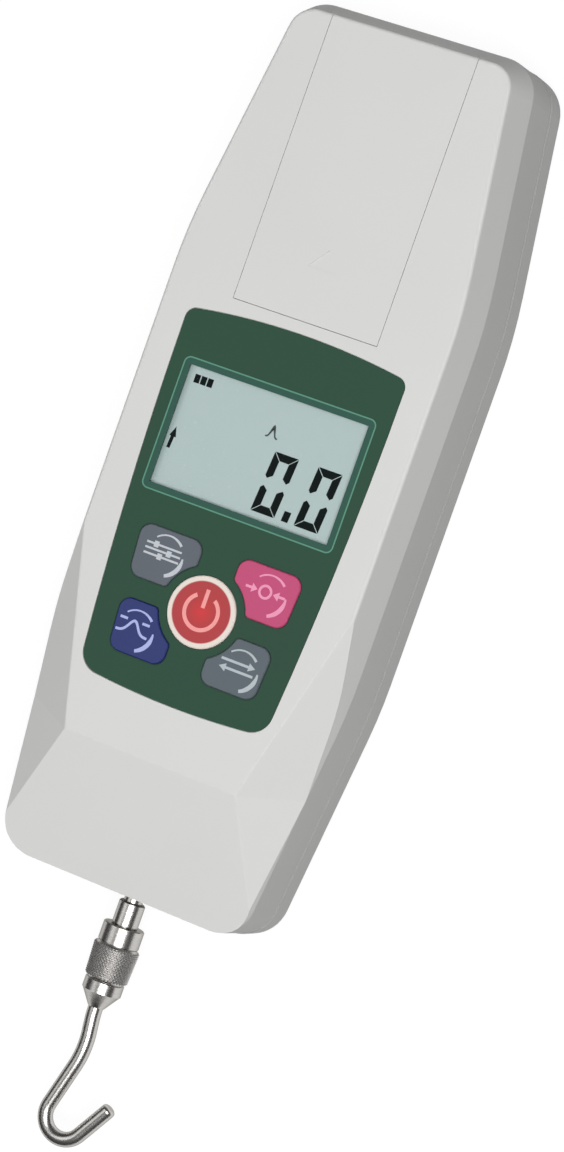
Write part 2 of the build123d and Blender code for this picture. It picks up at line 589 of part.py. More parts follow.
# ---- Hook ----
def hook_adapter():
    """The knurled adapter: a smooth ring, the knurled grip, a smooth band and a cone to the wire."""
    y0 = COLLAR_Y - COLLAR_L - ADAPTER_GAP
    y1 = y0 - RING_L
    y2 = y1 - KNURL_L
    y3 = y2 - BAND_L
    y4 = y3 - CONE_L
    bore = STUD_R + STUD_GAP
    bore_end = COLLAR_Y - COLLAR_L - STUD_L - ADAPTER_GAP
    seat = y4 + WIRE_IN
    return turned([
        (bore, y0), (RING_R, y0), (RING_R, y1), (KNURL_R, y1 - KNURL_CHAMFER),
        (KNURL_LOW_R, y2 + KNURL_CHAMFER), (BAND_R, y2), (BAND_R, y3), (CONE_R, y4),
        (WIRE_R, y4), (WIRE_R, seat), (0, seat), (0, bore_end), (bore, bore_end),
    ])


def hook():
    """The hook: a wire that leaves the adapter straight, bends aside and turns through the bowl."""
    adapter_end = COLLAR_Y - COLLAR_L - ADAPTER_GAP - RING_L - KNURL_L - BAND_L - CONE_L
    bowl = CenterArc((BOWL_X, BOWL_Y), BOWL_R, BOWL_IN, BOWL_TURN)
    straight = ((0, adapter_end + WIRE_IN), (0, adapter_end - WIRE_R))
    run = FilletPolyline(*straight, (BEND_X, BEND_Y), bowl @ 0, radius=BEND_R)
    tip = Line(bowl @ 1, (bowl @ 1) + (bowl % 1) * TIP_L)
    path = Wire(run.edges() + bowl.edges() + tip.edges())
    wire = sweep(Plane(origin=path @ 0, z_dir=path % 0) * Circle(WIRE_R), path)
    end = wire.edges().filter_by(GeomType.CIRCLE).sort_by_distance(tip @ 1)[0]
    return Pos(0, 0, AXIS_Z) * fillet(end, WIRE_R / 2)


# ---- Covers ----
def case_bosses(z0, z1):
    return [post(x, y, z0, z1, CASE_BOSS_R) for x, y in mirrored(CASE_FIX)]


def front_cover():
    """The front cover: a faceted shell with the battery compartment, the bosses and the openings."""
    form = front_form()
    inner = front_hollow()
    cover = form - inner
    inside = []
    inside += case_bosses(REBATE_Z, PLATE_Z + 1)
    for x, y in board_fixings():
        inside.append(post(x, y, BOARD_TOP_Z, PLATE_Z + 1, BOARD_BOSS_R))
    tub_w = TUB_HALF_W + TUB_WALL
    tub_low, tub_top = TUB_LOW_Y - TUB_WALL, TUB_TOP_Y + TUB_WALL
    inside.append(block(-tub_w, tub_w, tub_low, tub_top, TUB_FLOOR_Z - TUB_WALL, PLATE_Z + 1))
    seat_w = DOOR_HALF_W + TONGUE_W + TONGUE_GAP + DOOR_SEAT_W / 2
    inside.append(block(-seat_w, seat_w, DOOR_LOW_Y - DOOR_SEAT_W, END_Y, BED_Z - DOOR_SEAT, PLATE_Z + 1))
    inside.append(block(-BUSH_BLOCK / 2, BUSH_BLOCK / 2, BUSH_BLOCK_LOW_Y, BUSH_BLOCK_Y,
                        AXIS_Z + SLIP, PLATE_Z))
    for piece in inside:
        cover += piece & form
    cover -= block(-TUB_HALF_W, TUB_HALF_W, TUB_LOW_Y, TUB_TOP_Y, TUB_FLOOR_Z, FACE_Z)
    cover -= door_bed(DOOR_GAP, FACE_Z + 1)
    cover -= raised(panel_outline(0), PANEL_Z, FACE_Z + 1)
    cover -= display_block(WINDOW_RIM, WINDOW_Z, FACE_Z)
    cover -= display_block(DISPLAY_RIM + SLIP, PLATE_Z - 1, FACE_Z)
    for shape in key_outlines(KEY_GAP).values():
        cover -= raised(shape, PLATE_Z - 1, FACE_Z)
    for x, y in board_fixings():
        cover -= post(x, y, BOARD_TOP_Z, BOARD_Z + BOARD_SCREW_L + HOLE_GAP, BOARD_SCREW_R + HOLE_GAP)
    for x, y in mirrored(CASE_FIX):
        cover -= post(x, y, SEAM_Z, CASE_SCREW_Z + CASE_SCREW_L + HOLE_GAP, CASE_SCREW_R + HOLE_GAP)
    cover -= lip_ring(SEAM_LEDGE + WALL - LIP - SLIP, SEAM_Z, REBATE_Z)
    cover -= bush_hole()
    return cover


def lip_ring(outer, z0, z1):
    """A ring inside the side wall, from the inset outer to the wall's inner face."""
    return raised(outline(outer, 0), z0, z1) - raised(outline(SEAM_LEDGE + WALL, 0), z0, z1)


def bush_hole():
    return rod(0, -END_Y - 1, BUSH_BLOCK_Y + 1, AXIS_Z, BUSH_R + SLIP)


def rear_cover():
    """The rear cover: a shallow tray with a locating lip, bosses, screw wells and insert bosses."""
    tray = raised(outline(0, 0), 0, SEAM_Z)
    tray = fillet(tray.edges().filter_by(lambda e: e.center().Z < 0.01), BACK_R)
    tray = chamfer(tray.edges().filter_by(lambda e: e.center().Z > SEAM_Z - 0.01), SEAM_LEDGE * 0.9)
    tray -= raised(outline(SEAM_LEDGE + WALL, 0), WALL, SEAM_Z)
    tray += lip_ring(SEAM_LEDGE + WALL - LIP, SEAM_Z, LIP_Z)
    for piece in case_bosses(WALL / 2, LIP_Z):
        tray += piece
    for x, y in mirrored([(INSERT_X, INSERT_Y), (INSERT_X, -INSERT_Y)]):
        tray += post(x, y, WALL / 2, INSERT_L + 1, INSERT_BOSS_R)
        tray -= post(x, y, 0, INSERT_L, INSERT_R)
    for x, y in bracket_fixings():
        tray += post(x, y, WALL / 2, BRACKET_Z, BRACKET_BOSS_R)
        tray -= post(x, y, BRACKET_Z + BRACKET_FOOT_T - M3_L - HOLE_GAP, BRACKET_Z, M3_R + HOLE_GAP)
    tray += block(-BUSH_BLOCK / 2, BUSH_BLOCK / 2, BUSH_BLOCK_LOW_Y, BUSH_BLOCK_Y, WALL / 2, AXIS_Z)
    for x, y in mirrored(CASE_FIX):
        tray -= post(x, y, 0, CASE_SCREW_Z, CASE_HEAD_R + 2 * HOLE_GAP)
        tray -= post(x, y, 0, LIP_Z, CASE_SCREW_R + 2 * HOLE_GAP)
    return tray - bush_hole()


def case_screws():
    """Six self-tapping screws up through the rear cover."""
    z = CASE_SCREW_Z
    screws = []
    for x, y in mirrored(CASE_FIX):
        head = post(x, y, CASE_HEAD_DEPTH, z, CASE_HEAD_R)
        for turn in (0, 90):
            head -= Pos(x, y, CASE_HEAD_DEPTH) * Rot(0, 0, turn) * Box(CASE_HEAD_R * 1.3, 0.7, 2.0)
        screws.append(head + post(x, y, z, z + CASE_SCREW_L, CASE_SCREW_R))
    return screws


def mounting_inserts():
    """Four threaded brass inserts, flush with the back."""
    inserts = []
    for x, y in mirrored([(INSERT_X, INSERT_Y), (INSERT_X, -INSERT_Y)]):
        inserts.append(post(x, y, 0, INSERT_L, INSERT_R) - post(x, y, 0, INSERT_L, INSERT_BORE_R))
    return inserts


# ---- Every piece, by name ----
PIECES = {
    "front_cover": front_cover, "rear_cover": rear_cover, "battery_door": battery_door,
    "keypad_panel": keypad_panel, "lcd_window": lcd_window, "lcd_glass": lcd_glass,
    "lcd_frame": lcd_frame, "lcd_backlight": lcd_backlight, "main_board": main_board,
    "board_components": board_components, "switch_housings": switch_housings, "board_screws": board_screws,
    "battery_holder": battery_holder, "battery_cells": battery_cells, "battery_contacts": battery_contacts,
    "load_cell": load_cell, "load_cell_live_arm": load_cell_live_arm, "strain_gauges": strain_gauges,
    "cell_bracket": cell_bracket, "cell_bolts": cell_bolts, "bracket_screws": bracket_screws,
    "case_screws": case_screws, "mounting_inserts": mounting_inserts, "guide_bush": guide_bush,
    "spindle": spindle, "hook_adapter": hook_adapter, "hook": hook,
}

os.makedirs("parts", exist_ok=True)
for name, make in PIECES.items():
    made = make()
    export_step(Compound(children=made) if isinstance(made, list) else made, f"parts/{name}.step")
for name in ("power", *KEY_SIDES):
    export_step(key_cap(name), f"parts/key_{name}.step")
    export_step(plunger(name), f"parts/plunger_{name}.step")
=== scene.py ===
"""Looks of the handheld force gauge: finishes, prints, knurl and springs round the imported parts."""

import math

import bmesh
import bpy
from mathutils import Matrix, Vector


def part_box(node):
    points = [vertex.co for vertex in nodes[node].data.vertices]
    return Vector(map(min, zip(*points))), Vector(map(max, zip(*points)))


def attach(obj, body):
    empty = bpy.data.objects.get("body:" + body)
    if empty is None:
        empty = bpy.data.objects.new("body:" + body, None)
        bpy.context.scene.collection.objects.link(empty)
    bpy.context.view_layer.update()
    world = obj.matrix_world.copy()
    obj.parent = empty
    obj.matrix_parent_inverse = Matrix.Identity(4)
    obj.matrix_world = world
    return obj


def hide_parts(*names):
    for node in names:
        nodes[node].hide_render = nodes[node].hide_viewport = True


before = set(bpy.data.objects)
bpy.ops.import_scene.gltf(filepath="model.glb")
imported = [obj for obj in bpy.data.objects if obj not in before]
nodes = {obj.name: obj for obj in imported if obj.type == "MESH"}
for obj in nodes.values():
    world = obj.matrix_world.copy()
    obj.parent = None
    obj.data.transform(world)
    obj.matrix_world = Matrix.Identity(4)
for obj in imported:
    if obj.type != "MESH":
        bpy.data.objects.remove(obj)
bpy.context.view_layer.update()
scene = bpy.context.scene
MM = 0.001

# ---- Camera ----
# A long lens looks down at the gauge from its right side, a little from below the display,
# and is rolled so that the battery end points up and to the right.
CAMERA_AZIMUTH = math.radians(19.972)
CAMERA_ELEVATION = math.radians(2.18)
CAMERA_ROLL = math.radians(19.535)
CAMERA_DISTANCE = 0.86018
CAMERA_TARGET = Vector((0.010446, -0.025584, 0.018))
CAMERA_LENS, CAMERA_SENSOR = 105.62, 36.0
NEAREST, FARTHEST = 0.01, 20.0


def place_camera():
    back = Vector((math.sin(CAMERA_AZIMUTH) * math.cos(CAMERA_ELEVATION), math.sin(CAMERA_ELEVATION),
                   math.cos(CAMERA_AZIMUTH) * math.cos(CAMERA_ELEVATION)))
    level = Vector((0, 1, 0)).cross(back).normalized()
    upright = back.cross(level)
    right = math.cos(CAMERA_ROLL) * level + math.sin(CAMERA_ROLL) * upright
    up = -math.sin(CAMERA_ROLL) * level + math.cos(CAMERA_ROLL) * upright
    data = bpy.data.cameras.new("camera")
    data.lens = CAMERA_LENS
    data.sensor_width = CAMERA_SENSOR
    data.clip_start = NEAREST
    data.clip_end = FARTHEST
    camera = bpy.data.objects.new("camera", data)
    turn = Matrix((right, up, back)).transposed()
    camera.matrix_world = Matrix.Translation(CAMERA_TARGET + back * CAMERA_DISTANCE) @ turn.to_4x4()
    scene.collection.objects.link(camera)
    scene.camera = camera


place_camera()

# ---- Light, floor and background ----
# A large soft panel to the right above the gauge, a weak one to the left, an even surround with
# a darker one for what metal mirrors, and a table top that shows white and takes a shadow.
KEY_DIRECTION = Vector((0.38, -0.11, 0.92))
PANEL_DISTANCE = 1.3
PANEL_SIZE = 0.9
KEY_POWER = 13.9
FILL_DIRECTION = Vector((-0.5, 0.0, 0.87))
FILL_POWER = 2.6
SURROUND = 0.20
MIRRORED = (0.02, 0.10)                # what polished metal mirrors, from the horizon up
WHITE = (1, 1, 1, 1)
FLOOR_SIZE = 12
FLOOR_OWN_LIGHT = 0.90
FLOOR_COLOUR = (0.13, 0.13, 0.13, 1)


def new_material(name):
    """A material with its nodes, and the principled shader that its output shows."""
    material = bpy.data.materials.new(name)
    material.use_nodes = True
    shader = material.node_tree.nodes["Principled BSDF"]
    return material, material.node_tree, shader


def feed(tree, socket, source):
    """Gives an input a fixed value, or links it to another node's output."""
    if isinstance(source, bpy.types.NodeSocket):
        tree.links.new(source, socket)
    else:
        socket.default_value = source


def maths(tree, operation, first, second=0.0):
    """A maths node. Each input is a number or another node's output."""
    node = tree.nodes.new("ShaderNodeMath")
    node.operation = operation
    feed(tree, node.inputs[0], first)
    feed(tree, node.inputs[1], second)
    return node.outputs[0]


def mixed(tree, factor, first, second, kind="FLOAT"):
    """A mix of two values, or of two colours where the kind is RGBA."""
    node = tree.nodes.new("ShaderNodeMix")
    node.data_type = kind
    feed(tree, node.inputs["Factor"], factor)
    feed(tree, node.inputs["A"], first)
    feed(tree, node.inputs["B"], second)
    return node.outputs["Result"]


def ranged(tree, source, limits):
    """A value that goes from the first limit to the second as its source goes from 0 to 1."""
    node = tree.nodes.new("ShaderNodeMapRange")
    node.inputs["To Min"].default_value, node.inputs["To Max"].default_value = limits
    tree.links.new(source, node.inputs["Value"])
    return node.outputs["Result"]


def soft_panel(name, direction, power):
    """A round soft panel that faces the gauge from the given direction."""
    data = bpy.data.lights.new(name, "AREA")
    data.shape = "DISK"
    data.size = PANEL_SIZE
    data.energy = power
    lamp = bpy.data.objects.new(name, data)
    lamp.location = direction.normalized() * PANEL_DISTANCE
    lamp.rotation_mode = "QUATERNION"
    lamp.rotation_quaternion = direction.to_track_quat("Z", "Y")
    scene.collection.objects.link(lamp)


def light_up():
    soft_panel("key_panel", KEY_DIRECTION, KEY_POWER)
    soft_panel("fill_panel", FILL_DIRECTION, FILL_POWER)
    world = bpy.data.worlds.new("surround")
    world.use_nodes = True
    scene.world = world
    tree = world.node_tree
    background = tree.nodes["Background"]
    background.inputs["Color"].default_value = WHITE
    path = tree.nodes.new("ShaderNodeLightPath").outputs
    height = tree.nodes.new("ShaderNodeSeparateXYZ")
    tree.links.new(tree.nodes.new("ShaderNodeTexCoord").outputs["Generated"], height.inputs["Vector"])
    mirrored = ranged(tree, height.outputs["Z"], MIRRORED)
    level = mixed(tree, path["Is Glossy Ray"], SURROUND, mirrored)
    seen = maths(tree, "MAXIMUM", path["Is Camera Ray"], path["Is Transmission Ray"])
    tree.links.new(mixed(tree, seen, level, 1.0), background.inputs["Strength"])


def lay_floor():
    bpy.ops.mesh.primitive_plane_add(size=FLOOR_SIZE, location=(0, 0, 0))
    floor = bpy.context.object
    floor.name = "table_top"
    material, tree, shader = new_material("table_top")
    shader.inputs["Base Color"].default_value = FLOOR_COLOUR
    shader.inputs["Roughness"].default_value = 0.9
    shader.inputs["Specular IOR Level"].default_value = 0.0
    shader.inputs["Emission Color"].default_value = WHITE
    path = tree.nodes.new("ShaderNodeLightPath").outputs
    seen = maths(tree, "MAXIMUM", path["Is Camera Ray"], path["Is Glossy Ray"])
    tree.links.new(maths(tree, "MULTIPLY", seen, FLOOR_OWN_LIGHT), shader.inputs["Emission Strength"])
    floor.data.materials.append(material)


light_up()
lay_floor()
scene.view_settings.view_transform = "Standard"

# ---- Housing ----
# Front cover, rear cover and battery door are moulded from one pale grey ABS with a fine
# spark-eroded grain. The covers' edges are slightly rounded by the mould.
HOUSING_COLOUR = (0.672, 0.672, 0.658, 1)
HOUSING_SHADE = (0.640, 0.641, 0.630, 1)
HOUSING_ROUGHNESS = (0.50, 0.60)
HOUSING_SPECULAR = 0.25
CLOUD_SCALE, CLOUD_DETAIL = 28, 3
GRAIN_SCALE = 2600
GRAIN_DEPTH, GRAIN_HEIGHT = 0.08, 0.1 * MM
SEAM_FOOT_Z = 10.31 * MM               # foot of the slope along the rear cover's rim
# Painted shade on the rear cover's rim at the seam
SEAM_PAINTED_SHADE = (0.40, 0.40, 0.39, 1)


def object_place(tree):
    return tree.nodes.new("ShaderNodeTexCoord").outputs["Object"]


def noise(tree, place, scale, detail=2.0):
    node = tree.nodes.new("ShaderNodeTexNoise")
    node.inputs["Scale"].default_value = scale
    node.inputs["Detail"].default_value = detail
    tree.links.new(place, node.inputs["Vector"])
    return node.outputs["Fac"]


def moulded_plastic(name, colour, shade, roughness, grain_scale, grain_depth, specular=0.5):
    """Moulded plastic: a fine grain in the surface and a faint uneven tone over larger areas."""
    material, tree, shader = new_material(name)
    place = object_place(tree)
    cloud = noise(tree, place, CLOUD_SCALE, CLOUD_DETAIL)
    grain = noise(tree, place, grain_scale)
    bump = tree.nodes.new("ShaderNodeBump")
    bump.inputs["Strength"].default_value = grain_depth
    bump.inputs["Distance"].default_value = GRAIN_HEIGHT
    tree.links.new(grain, bump.inputs["Height"])
    tree.links.new(mixed(tree, cloud, colour, shade, "RGBA"), shader.inputs["Base Color"])
    tree.links.new(ranged(tree, grain, roughness), shader.inputs["Roughness"])
    tree.links.new(bump.outputs["Normal"], shader.inputs["Normal"])
    shader.inputs["Specular IOR Level"].default_value = specular
    return material


def give(material, *names):
    """Puts a material on CAD nodes."""
    for name in names:
        nodes[name].data.materials.clear()
        nodes[name].data.materials.append(material)


def housing_abs(name):
    return moulded_plastic(name, HOUSING_COLOUR, HOUSING_SHADE, HOUSING_ROUGHNESS, GRAIN_SCALE, GRAIN_DEPTH,
                           HOUSING_SPECULAR)


def paint_shade_above(material, height, colour):
    """Paints shade on all that lies above a height by darkening its colour."""
    tree = material.node_tree
    base = tree.nodes["Principled BSDF"].inputs["Base Color"]
    place = tree.nodes.new("ShaderNodeSeparateXYZ")
    tree.links.new(object_place(tree), place.inputs["Vector"])
    above = maths(tree, "GREATER_THAN", place.outputs["Z"], height)
    tree.links.new(mixed(tree, above, base.links[0].from_socket, colour, "RGBA"), base)


give(housing_abs("housing_abs"), "front_cover", "battery_door")
# The rear cover's rim above the seam's foot gets painted shade, which dims the highlight on its slope.
painted_seam_abs = housing_abs("painted_seam_abs")
paint_shade_above(painted_seam_abs, SEAM_FOOT_Z, SEAM_PAINTED_SHADE)
give(painted_seam_abs, "rear_cover")

# ---- Overlay panel ----
# A dark green printed film with a satin face, laid in a shallow recess of the front cover.
# A lighter band and a fine pale line are printed round the display.
PANEL_COLOUR = (0.024, 0.077, 0.046, 1)
PANEL_SHADE = (0.030, 0.072, 0.047, 1)
PANEL_SPECULAR = 0.14
PANEL_FACE_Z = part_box("keypad_panel")[1].z
PRINT_T = 0.03 * MM
VIEW_HALF_W, VIEW_HALF_H = 25.27 * MM, 15.68 * MM
VIEW_Y = 1.76 * MM
BAND_GROW, LINE_GROW, LINE_W = 1.75 * MM, 1.95 * MM, 0.36 * MM
BAND_ROUND = 1.5 * MM
WINDOW_ROUND = 0.05 * MM
BAND_COLOUR = (0.030, 0.100, 0.074, 1)
LINE_COLOUR = (0.110, 0.300, 0.215, 1)
INK_SPECULAR = 0.2
MOTTLE_SCALE = 900


def ink(name, colour, shade=None, roughness=0.45, specular=INK_SPECULAR):
    """Screen-printed ink: nearly even, with a faint mottle from the screen."""
    material, tree, shader = new_material(name)
    mottle = noise(tree, object_place(tree), MOTTLE_SCALE)
    darker = shade or [c * 0.88 for c in colour[:3]] + [1]
    tree.links.new(mixed(tree, mottle, colour, darker, "RGBA"), shader.inputs["Base Color"])
    shader.inputs["Roughness"].default_value = roughness
    shader.inputs["Specular IOR Level"].default_value = specular
    return material


def rounded_loop(half_w, half_h, radius, steps=8):
    """Points of a rounded rectangle about the origin, anticlockwise from the right side."""
    points = []
    for corner, (sx, sy) in enumerate(((1, 1), (-1, 1), (-1, -1), (1, -1))):
        for step in range(steps + 1):
            angle = math.radians(90 * (corner + step / steps))
            points.append(((half_w - radius) * sx + radius * math.cos(angle),
                           (half_h - radius) * sy + radius * math.sin(angle)))
    return points


def finished(name, mesh, material):
    """Makes a piece of a mesh, with its faces turned outwards."""
    bmesh.ops.recalc_face_normals(mesh, faces=mesh.faces)
    data = bpy.data.meshes.new(name)
    mesh.to_mesh(data)
    mesh.free()
    data.materials.append(material)
    piece = bpy.data.objects.new(name, data)
    scene.collection.objects.link(piece)
    return piece


def printed(name, outlines, z, material, body, holes=()):
    """A thin layer of print: flat outlines raised by the thickness of the ink, some with a hole."""
    mesh = bmesh.new()
    for number, outer in enumerate(outlines):
        hole = holes[number] if number < len(holes) else None
        top = [mesh.verts.new((x, y, z + PRINT_T)) for x, y in outer]
        low = [mesh.verts.new((x, y, z)) for x, y in outer]
        count = len(outer)
        for i in range(count):
            mesh.faces.new((low[i], low[(i + 1) % count], top[(i + 1) % count], top[i]))
        if hole:
            inner = [mesh.verts.new((x, y, z + PRINT_T)) for x, y in hole]
            inner_low = [mesh.verts.new((x, y, z)) for x, y in hole]
            for i in range(count):
                j = (i + 1) % count
                mesh.faces.new((top[i], top[j], inner[j], inner[i]))
                mesh.faces.new((low[j], low[i], inner_low[i], inner_low[j]))
                mesh.faces.new((inner[i], inner[j], inner_low[j], inner_low[i]))
        else:
            mesh.faces.new(top)
            mesh.faces.new(low[::-1])
    piece = finished(name, mesh, material)
    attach(piece, body)


def moved(points, x, y):
    return [(px + x, py + y) for px, py in points]


give(moulded_plastic("panel_film", PANEL_COLOUR, PANEL_SHADE, (0.34, 0.42), 3400, 0.03, PANEL_SPECULAR),
     "keypad_panel")
window_loop = rounded_loop(VIEW_HALF_W, VIEW_HALF_H, WINDOW_ROUND)
band_loop = rounded_loop(VIEW_HALF_W + BAND_GROW, VIEW_HALF_H + BAND_GROW, BAND_ROUND)
line_in = rounded_loop(VIEW_HALF_W + LINE_GROW - LINE_W, VIEW_HALF_H + LINE_GROW - LINE_W, BAND_ROUND)
line_out = rounded_loop(VIEW_HALF_W + LINE_GROW, VIEW_HALF_H + LINE_GROW, BAND_ROUND + LINE_W)
printed("display_band", [moved(band_loop, 0, VIEW_Y)], PANEL_FACE_Z, ink("band_ink", BAND_COLOUR),
        "housing", [moved(window_loop, 0, VIEW_Y)])
printed("display_line", [moved(line_out, 0, VIEW_Y)], PANEL_FACE_Z + PRINT_T, ink("line_ink", LINE_COLOUR),
        "housing", [moved(line_in, 0, VIEW_Y)])

# ---- Display ----
# A reflective liquid-crystal glass lies behind a clear acrylic window. Its reading, a battery
# gauge, a direction arrow and a small load-curve mark are dark segments in the glass.
GLASS_COLOUR = (0.428, 0.530, 0.524, 1)
GLASS_SHADE = (0.408, 0.524, 0.508, 1)
SEGMENT_COLOUR = (0.002, 0.004, 0.004, 1)
SEGMENT_SHADE = (0.005, 0.007, 0.007, 1)
FAINT_COLOUR = (0.055, 0.075, 0.072, 1)
WINDOW_COLOUR = (0.20, 0.26, 0.25, 1)
WINDOW_ALPHA = 0.015
WINDOW_SPECULAR = 0.04
GLASS_TOP_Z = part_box("lcd_glass")[1].z
DIGIT_W, DIGIT_H, DIGIT_LEAN = 6.75 * MM, 15.9 * MM, 0.075
DIGIT_STROKE, DIGIT_SPLIT = 2.0 * MM, 0.13 * MM
DIGIT_WAIST = 0.95 * MM                # from the middle of the digit to its side segments
DIGITS_X, DIGITS_Y = (2.5 * MM, 14.75 * MM), -12.1 * MM
POINT_X, POINT_W, POINT_H = 11.15 * MM, 1.85 * MM, 2.7 * MM
CELL_BARS_X = (-23.6 * MM, -21.75 * MM, -19.9 * MM)
CELL_BAR_W, CELL_BAR_H, CELL_BARS_Y = 1.55 * MM, 2.2 * MM, 13.35 * MM
ARROW_X, ARROW_LOW_Y, ARROW_L = -24.2 * MM, -4.4 * MM, 5.7 * MM
ARROW_STEM_W, ARROW_HEAD_W, ARROW_HEAD_L = 0.95 * MM, 1.9 * MM, 2.6 * MM
ARROW_LEAN = math.radians(-4)
CURVE_X, CURVE_Y, CURVE_W, CURVE_H = -0.4 * MM, 6.7 * MM, 3.4 * MM, 3.0 * MM
CURVE_STROKE = 0.42 * MM


def clear_acrylic():
    """The window: clear, with a glossy face that takes a faint reflection."""
    material, tree, shader = new_material("clear_acrylic")
    smear = noise(tree, object_place(tree), 60)
    tree.links.new(ranged(tree, smear, (0.03, 0.09)), shader.inputs["Roughness"])
    shader.inputs["Base Color"].default_value = WINDOW_COLOUR
    shader.inputs["Specular IOR Level"].default_value = WINDOW_SPECULAR
    shader.inputs["Alpha"].default_value = WINDOW_ALPHA
    return material


def slanted(points, x, y, lean):
    """Points in a digit's own square frame, put in place and leaned to the right."""
    return [(x + px + lean * py, y + py) for px, py in points]


def zero_segments(w, h, s, split, waist):
    """The six lit segments of a seven-segment 0, mitred where they meet."""
    bar = [(split, h), (w - split, h), (w - s - split, h - s), (s + split, h - s)]
    side = [(w, h - split), (w, h / 2 + waist + s / 3), (w - s / 3, h / 2 + waist),
            (w - s, h / 2 + waist + s / 2), (w - s, h - s - split)]
    upright = [bar, side, [(w - x, y) for x, y in side][::-1]]
    return upright + [[(x, h - y) for x, y in points][::-1] for points in upright]


def rectangle(x, y, w, h):
    return [(x, y), (x + w, y), (x + w, y + h), (x, y + h)]


def arrow(x, y, length, stem, head_w, head_l, turn=0.0):
    """An arrow from its tail at x, y, pointing up, then turned anticlockwise."""
    points = [(-stem / 2, 0), (stem / 2, 0), (stem / 2, length - head_l), (head_w / 2, length - head_l),
              (0, length), (-head_w / 2, length - head_l), (-stem / 2, length - head_l)]
    c, s = math.cos(turn), math.sin(turn)
    return [(x + c * px - s * py, y + s * px + c * py) for px, py in points]


def stroke(points, width):
    """The outline of a line of a given width through points, with mitred corners."""
    sides = [[], []]
    path = [Vector(p) for p in points]
    for i, point in enumerate(path):
        before = (point - path[i - 1]).normalized() if i else (path[1] - point).normalized()
        after = (path[i + 1] - point).normalized() if i + 1 < len(path) else before
        across = Vector((-(before + after).y, (before + after).x)).normalized()
        reach = width / 2 / max(0.35, across.dot(Vector((-before.y, before.x))))
        sides[0].append(tuple(point - across * reach))
        sides[1].append(tuple(point + across * reach))
    return sides[0] + sides[1][::-1]


def bell(x, y, width, height, spread, steps):
    """Points of a load curve that rises from a level line to its peak and falls again."""
    parts = [step / steps for step in range(steps + 1)]
    return [(x + width * part, y + height * math.exp(-((part - 0.5) / spread) ** 2)) for part in parts]


give(clear_acrylic(), "lcd_window")
give(moulded_plastic("display_glass", GLASS_COLOUR, GLASS_SHADE, (0.22, 0.30), 900, 0.0), "lcd_glass")

reading = []
for left in DIGITS_X:
    for segment in zero_segments(DIGIT_W, DIGIT_H, DIGIT_STROKE, DIGIT_SPLIT, DIGIT_WAIST):
        reading.append(slanted(segment, left, DIGITS_Y, DIGIT_LEAN))
reading.append(slanted(rectangle(0, 0, POINT_W, POINT_H), POINT_X, DIGITS_Y, DIGIT_LEAN))
reading += [rectangle(x, CELL_BARS_Y, CELL_BAR_W, CELL_BAR_H) for x in CELL_BARS_X]
reading.append(arrow(ARROW_X, ARROW_LOW_Y, ARROW_L, ARROW_STEM_W, ARROW_HEAD_W, ARROW_HEAD_L, ARROW_LEAN))
segment_black = ink("segment_black", SEGMENT_COLOUR, SEGMENT_SHADE, specular=0.0)
printed("display_reading", reading, GLASS_TOP_Z, segment_black, "housing")
load_curve = bell(CURVE_X, CURVE_Y, CURVE_W, CURVE_H, 0.19, 20)
printed("display_curve", [stroke(load_curve, CURVE_STROKE)], GLASS_TOP_Z,
        ink("segment_grey", FAINT_COLOUR, None, 0.4), "housing")

# ---- Keys ----
# Five silicone keys stand in the panel's openings, with a lip of the film in the gap round each.
# The round power key has a cream rim and a red face with a painted highlight in its middle, and each key
# carries a pale printed mark.
KEY_TOP_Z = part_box("key_power")[1].z
POWER_Y = sum(corner.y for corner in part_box("key_power")) / 2
POWER_RIM_R, POWER_R = 7.75 * MM, 9.26 * MM
CREAM = (0.78, 0.70, 0.63, 1)
# A painted highlight in the middle of the power key's red face, fading out into the plain red
RED_PAINTED_HIGHLIGHT = (0.62, 0.026, 0.030, 1)
RED_FACE = (0.45, 0.032, 0.036, 1)
RED_EDGE = (0.42, 0.034, 0.040, 1)
RED_FACE_FROM, RIM_BLUR = 0.38, 0.035  # as parts of the key's radius
POWER_MARK = (0.93, 0.36, 0.35, 1)
RING_R, RING_STROKE, RING_GAP = 4.55 * MM, 1.05 * MM, math.radians(33)
BAR_LOW, BAR_HIGH = 1.1 * MM, 5.95 * MM
KEY_COLOURS = {"upper_left": (0.103, 0.122, 0.148, 1), "upper_right": (0.54, 0.060, 0.175, 1),
               "lower_left": (0.012, 0.026, 0.160, 1), "lower_right": (0.096, 0.123, 0.143, 1)}
MARK_COLOURS = {"upper_left": (0.55, 0.59, 0.63, 1), "upper_right": (0.88, 0.33, 0.50, 1),
                "lower_left": (0.43, 0.48, 0.82, 1), "lower_right": (0.47, 0.53, 0.56, 1)}
# Middle of each mark, from the middle of the key's plunger
MARK_PLACES = {"upper_left": (-0.9 * MM, 0.4 * MM), "upper_right": (1.4 * MM, 0.0),
               "lower_left": (-1.7 * MM, -0.6 * MM), "lower_right": (1.0 * MM, -0.7 * MM)}
SWEEP_R, SWEEP_THIN, SWEEP_THICK = 5.15 * MM, 0.42 * MM, 1.15 * MM
SIGN_STROKE = 0.66 * MM
KEY_BEVEL, KEY_GAP = 0.25 * MM, 0.3 * MM
SEAT_DROP, SEAT_CLEAR = 0.22 * MM, 0.08 * MM    # the lips' depth under the panel's face, and their slit
SIGN_HALF_W, SIGN_HALF_H = 5.0 * MM, 1.65 * MM


def silicone(name, colour):
    """Silicone rubber with a matt face, a little uneven in tone."""
    return moulded_plastic(name, colour, [c * 0.90 for c in colour[:3]] + [1], (0.46, 0.56), 1500, 0.05)


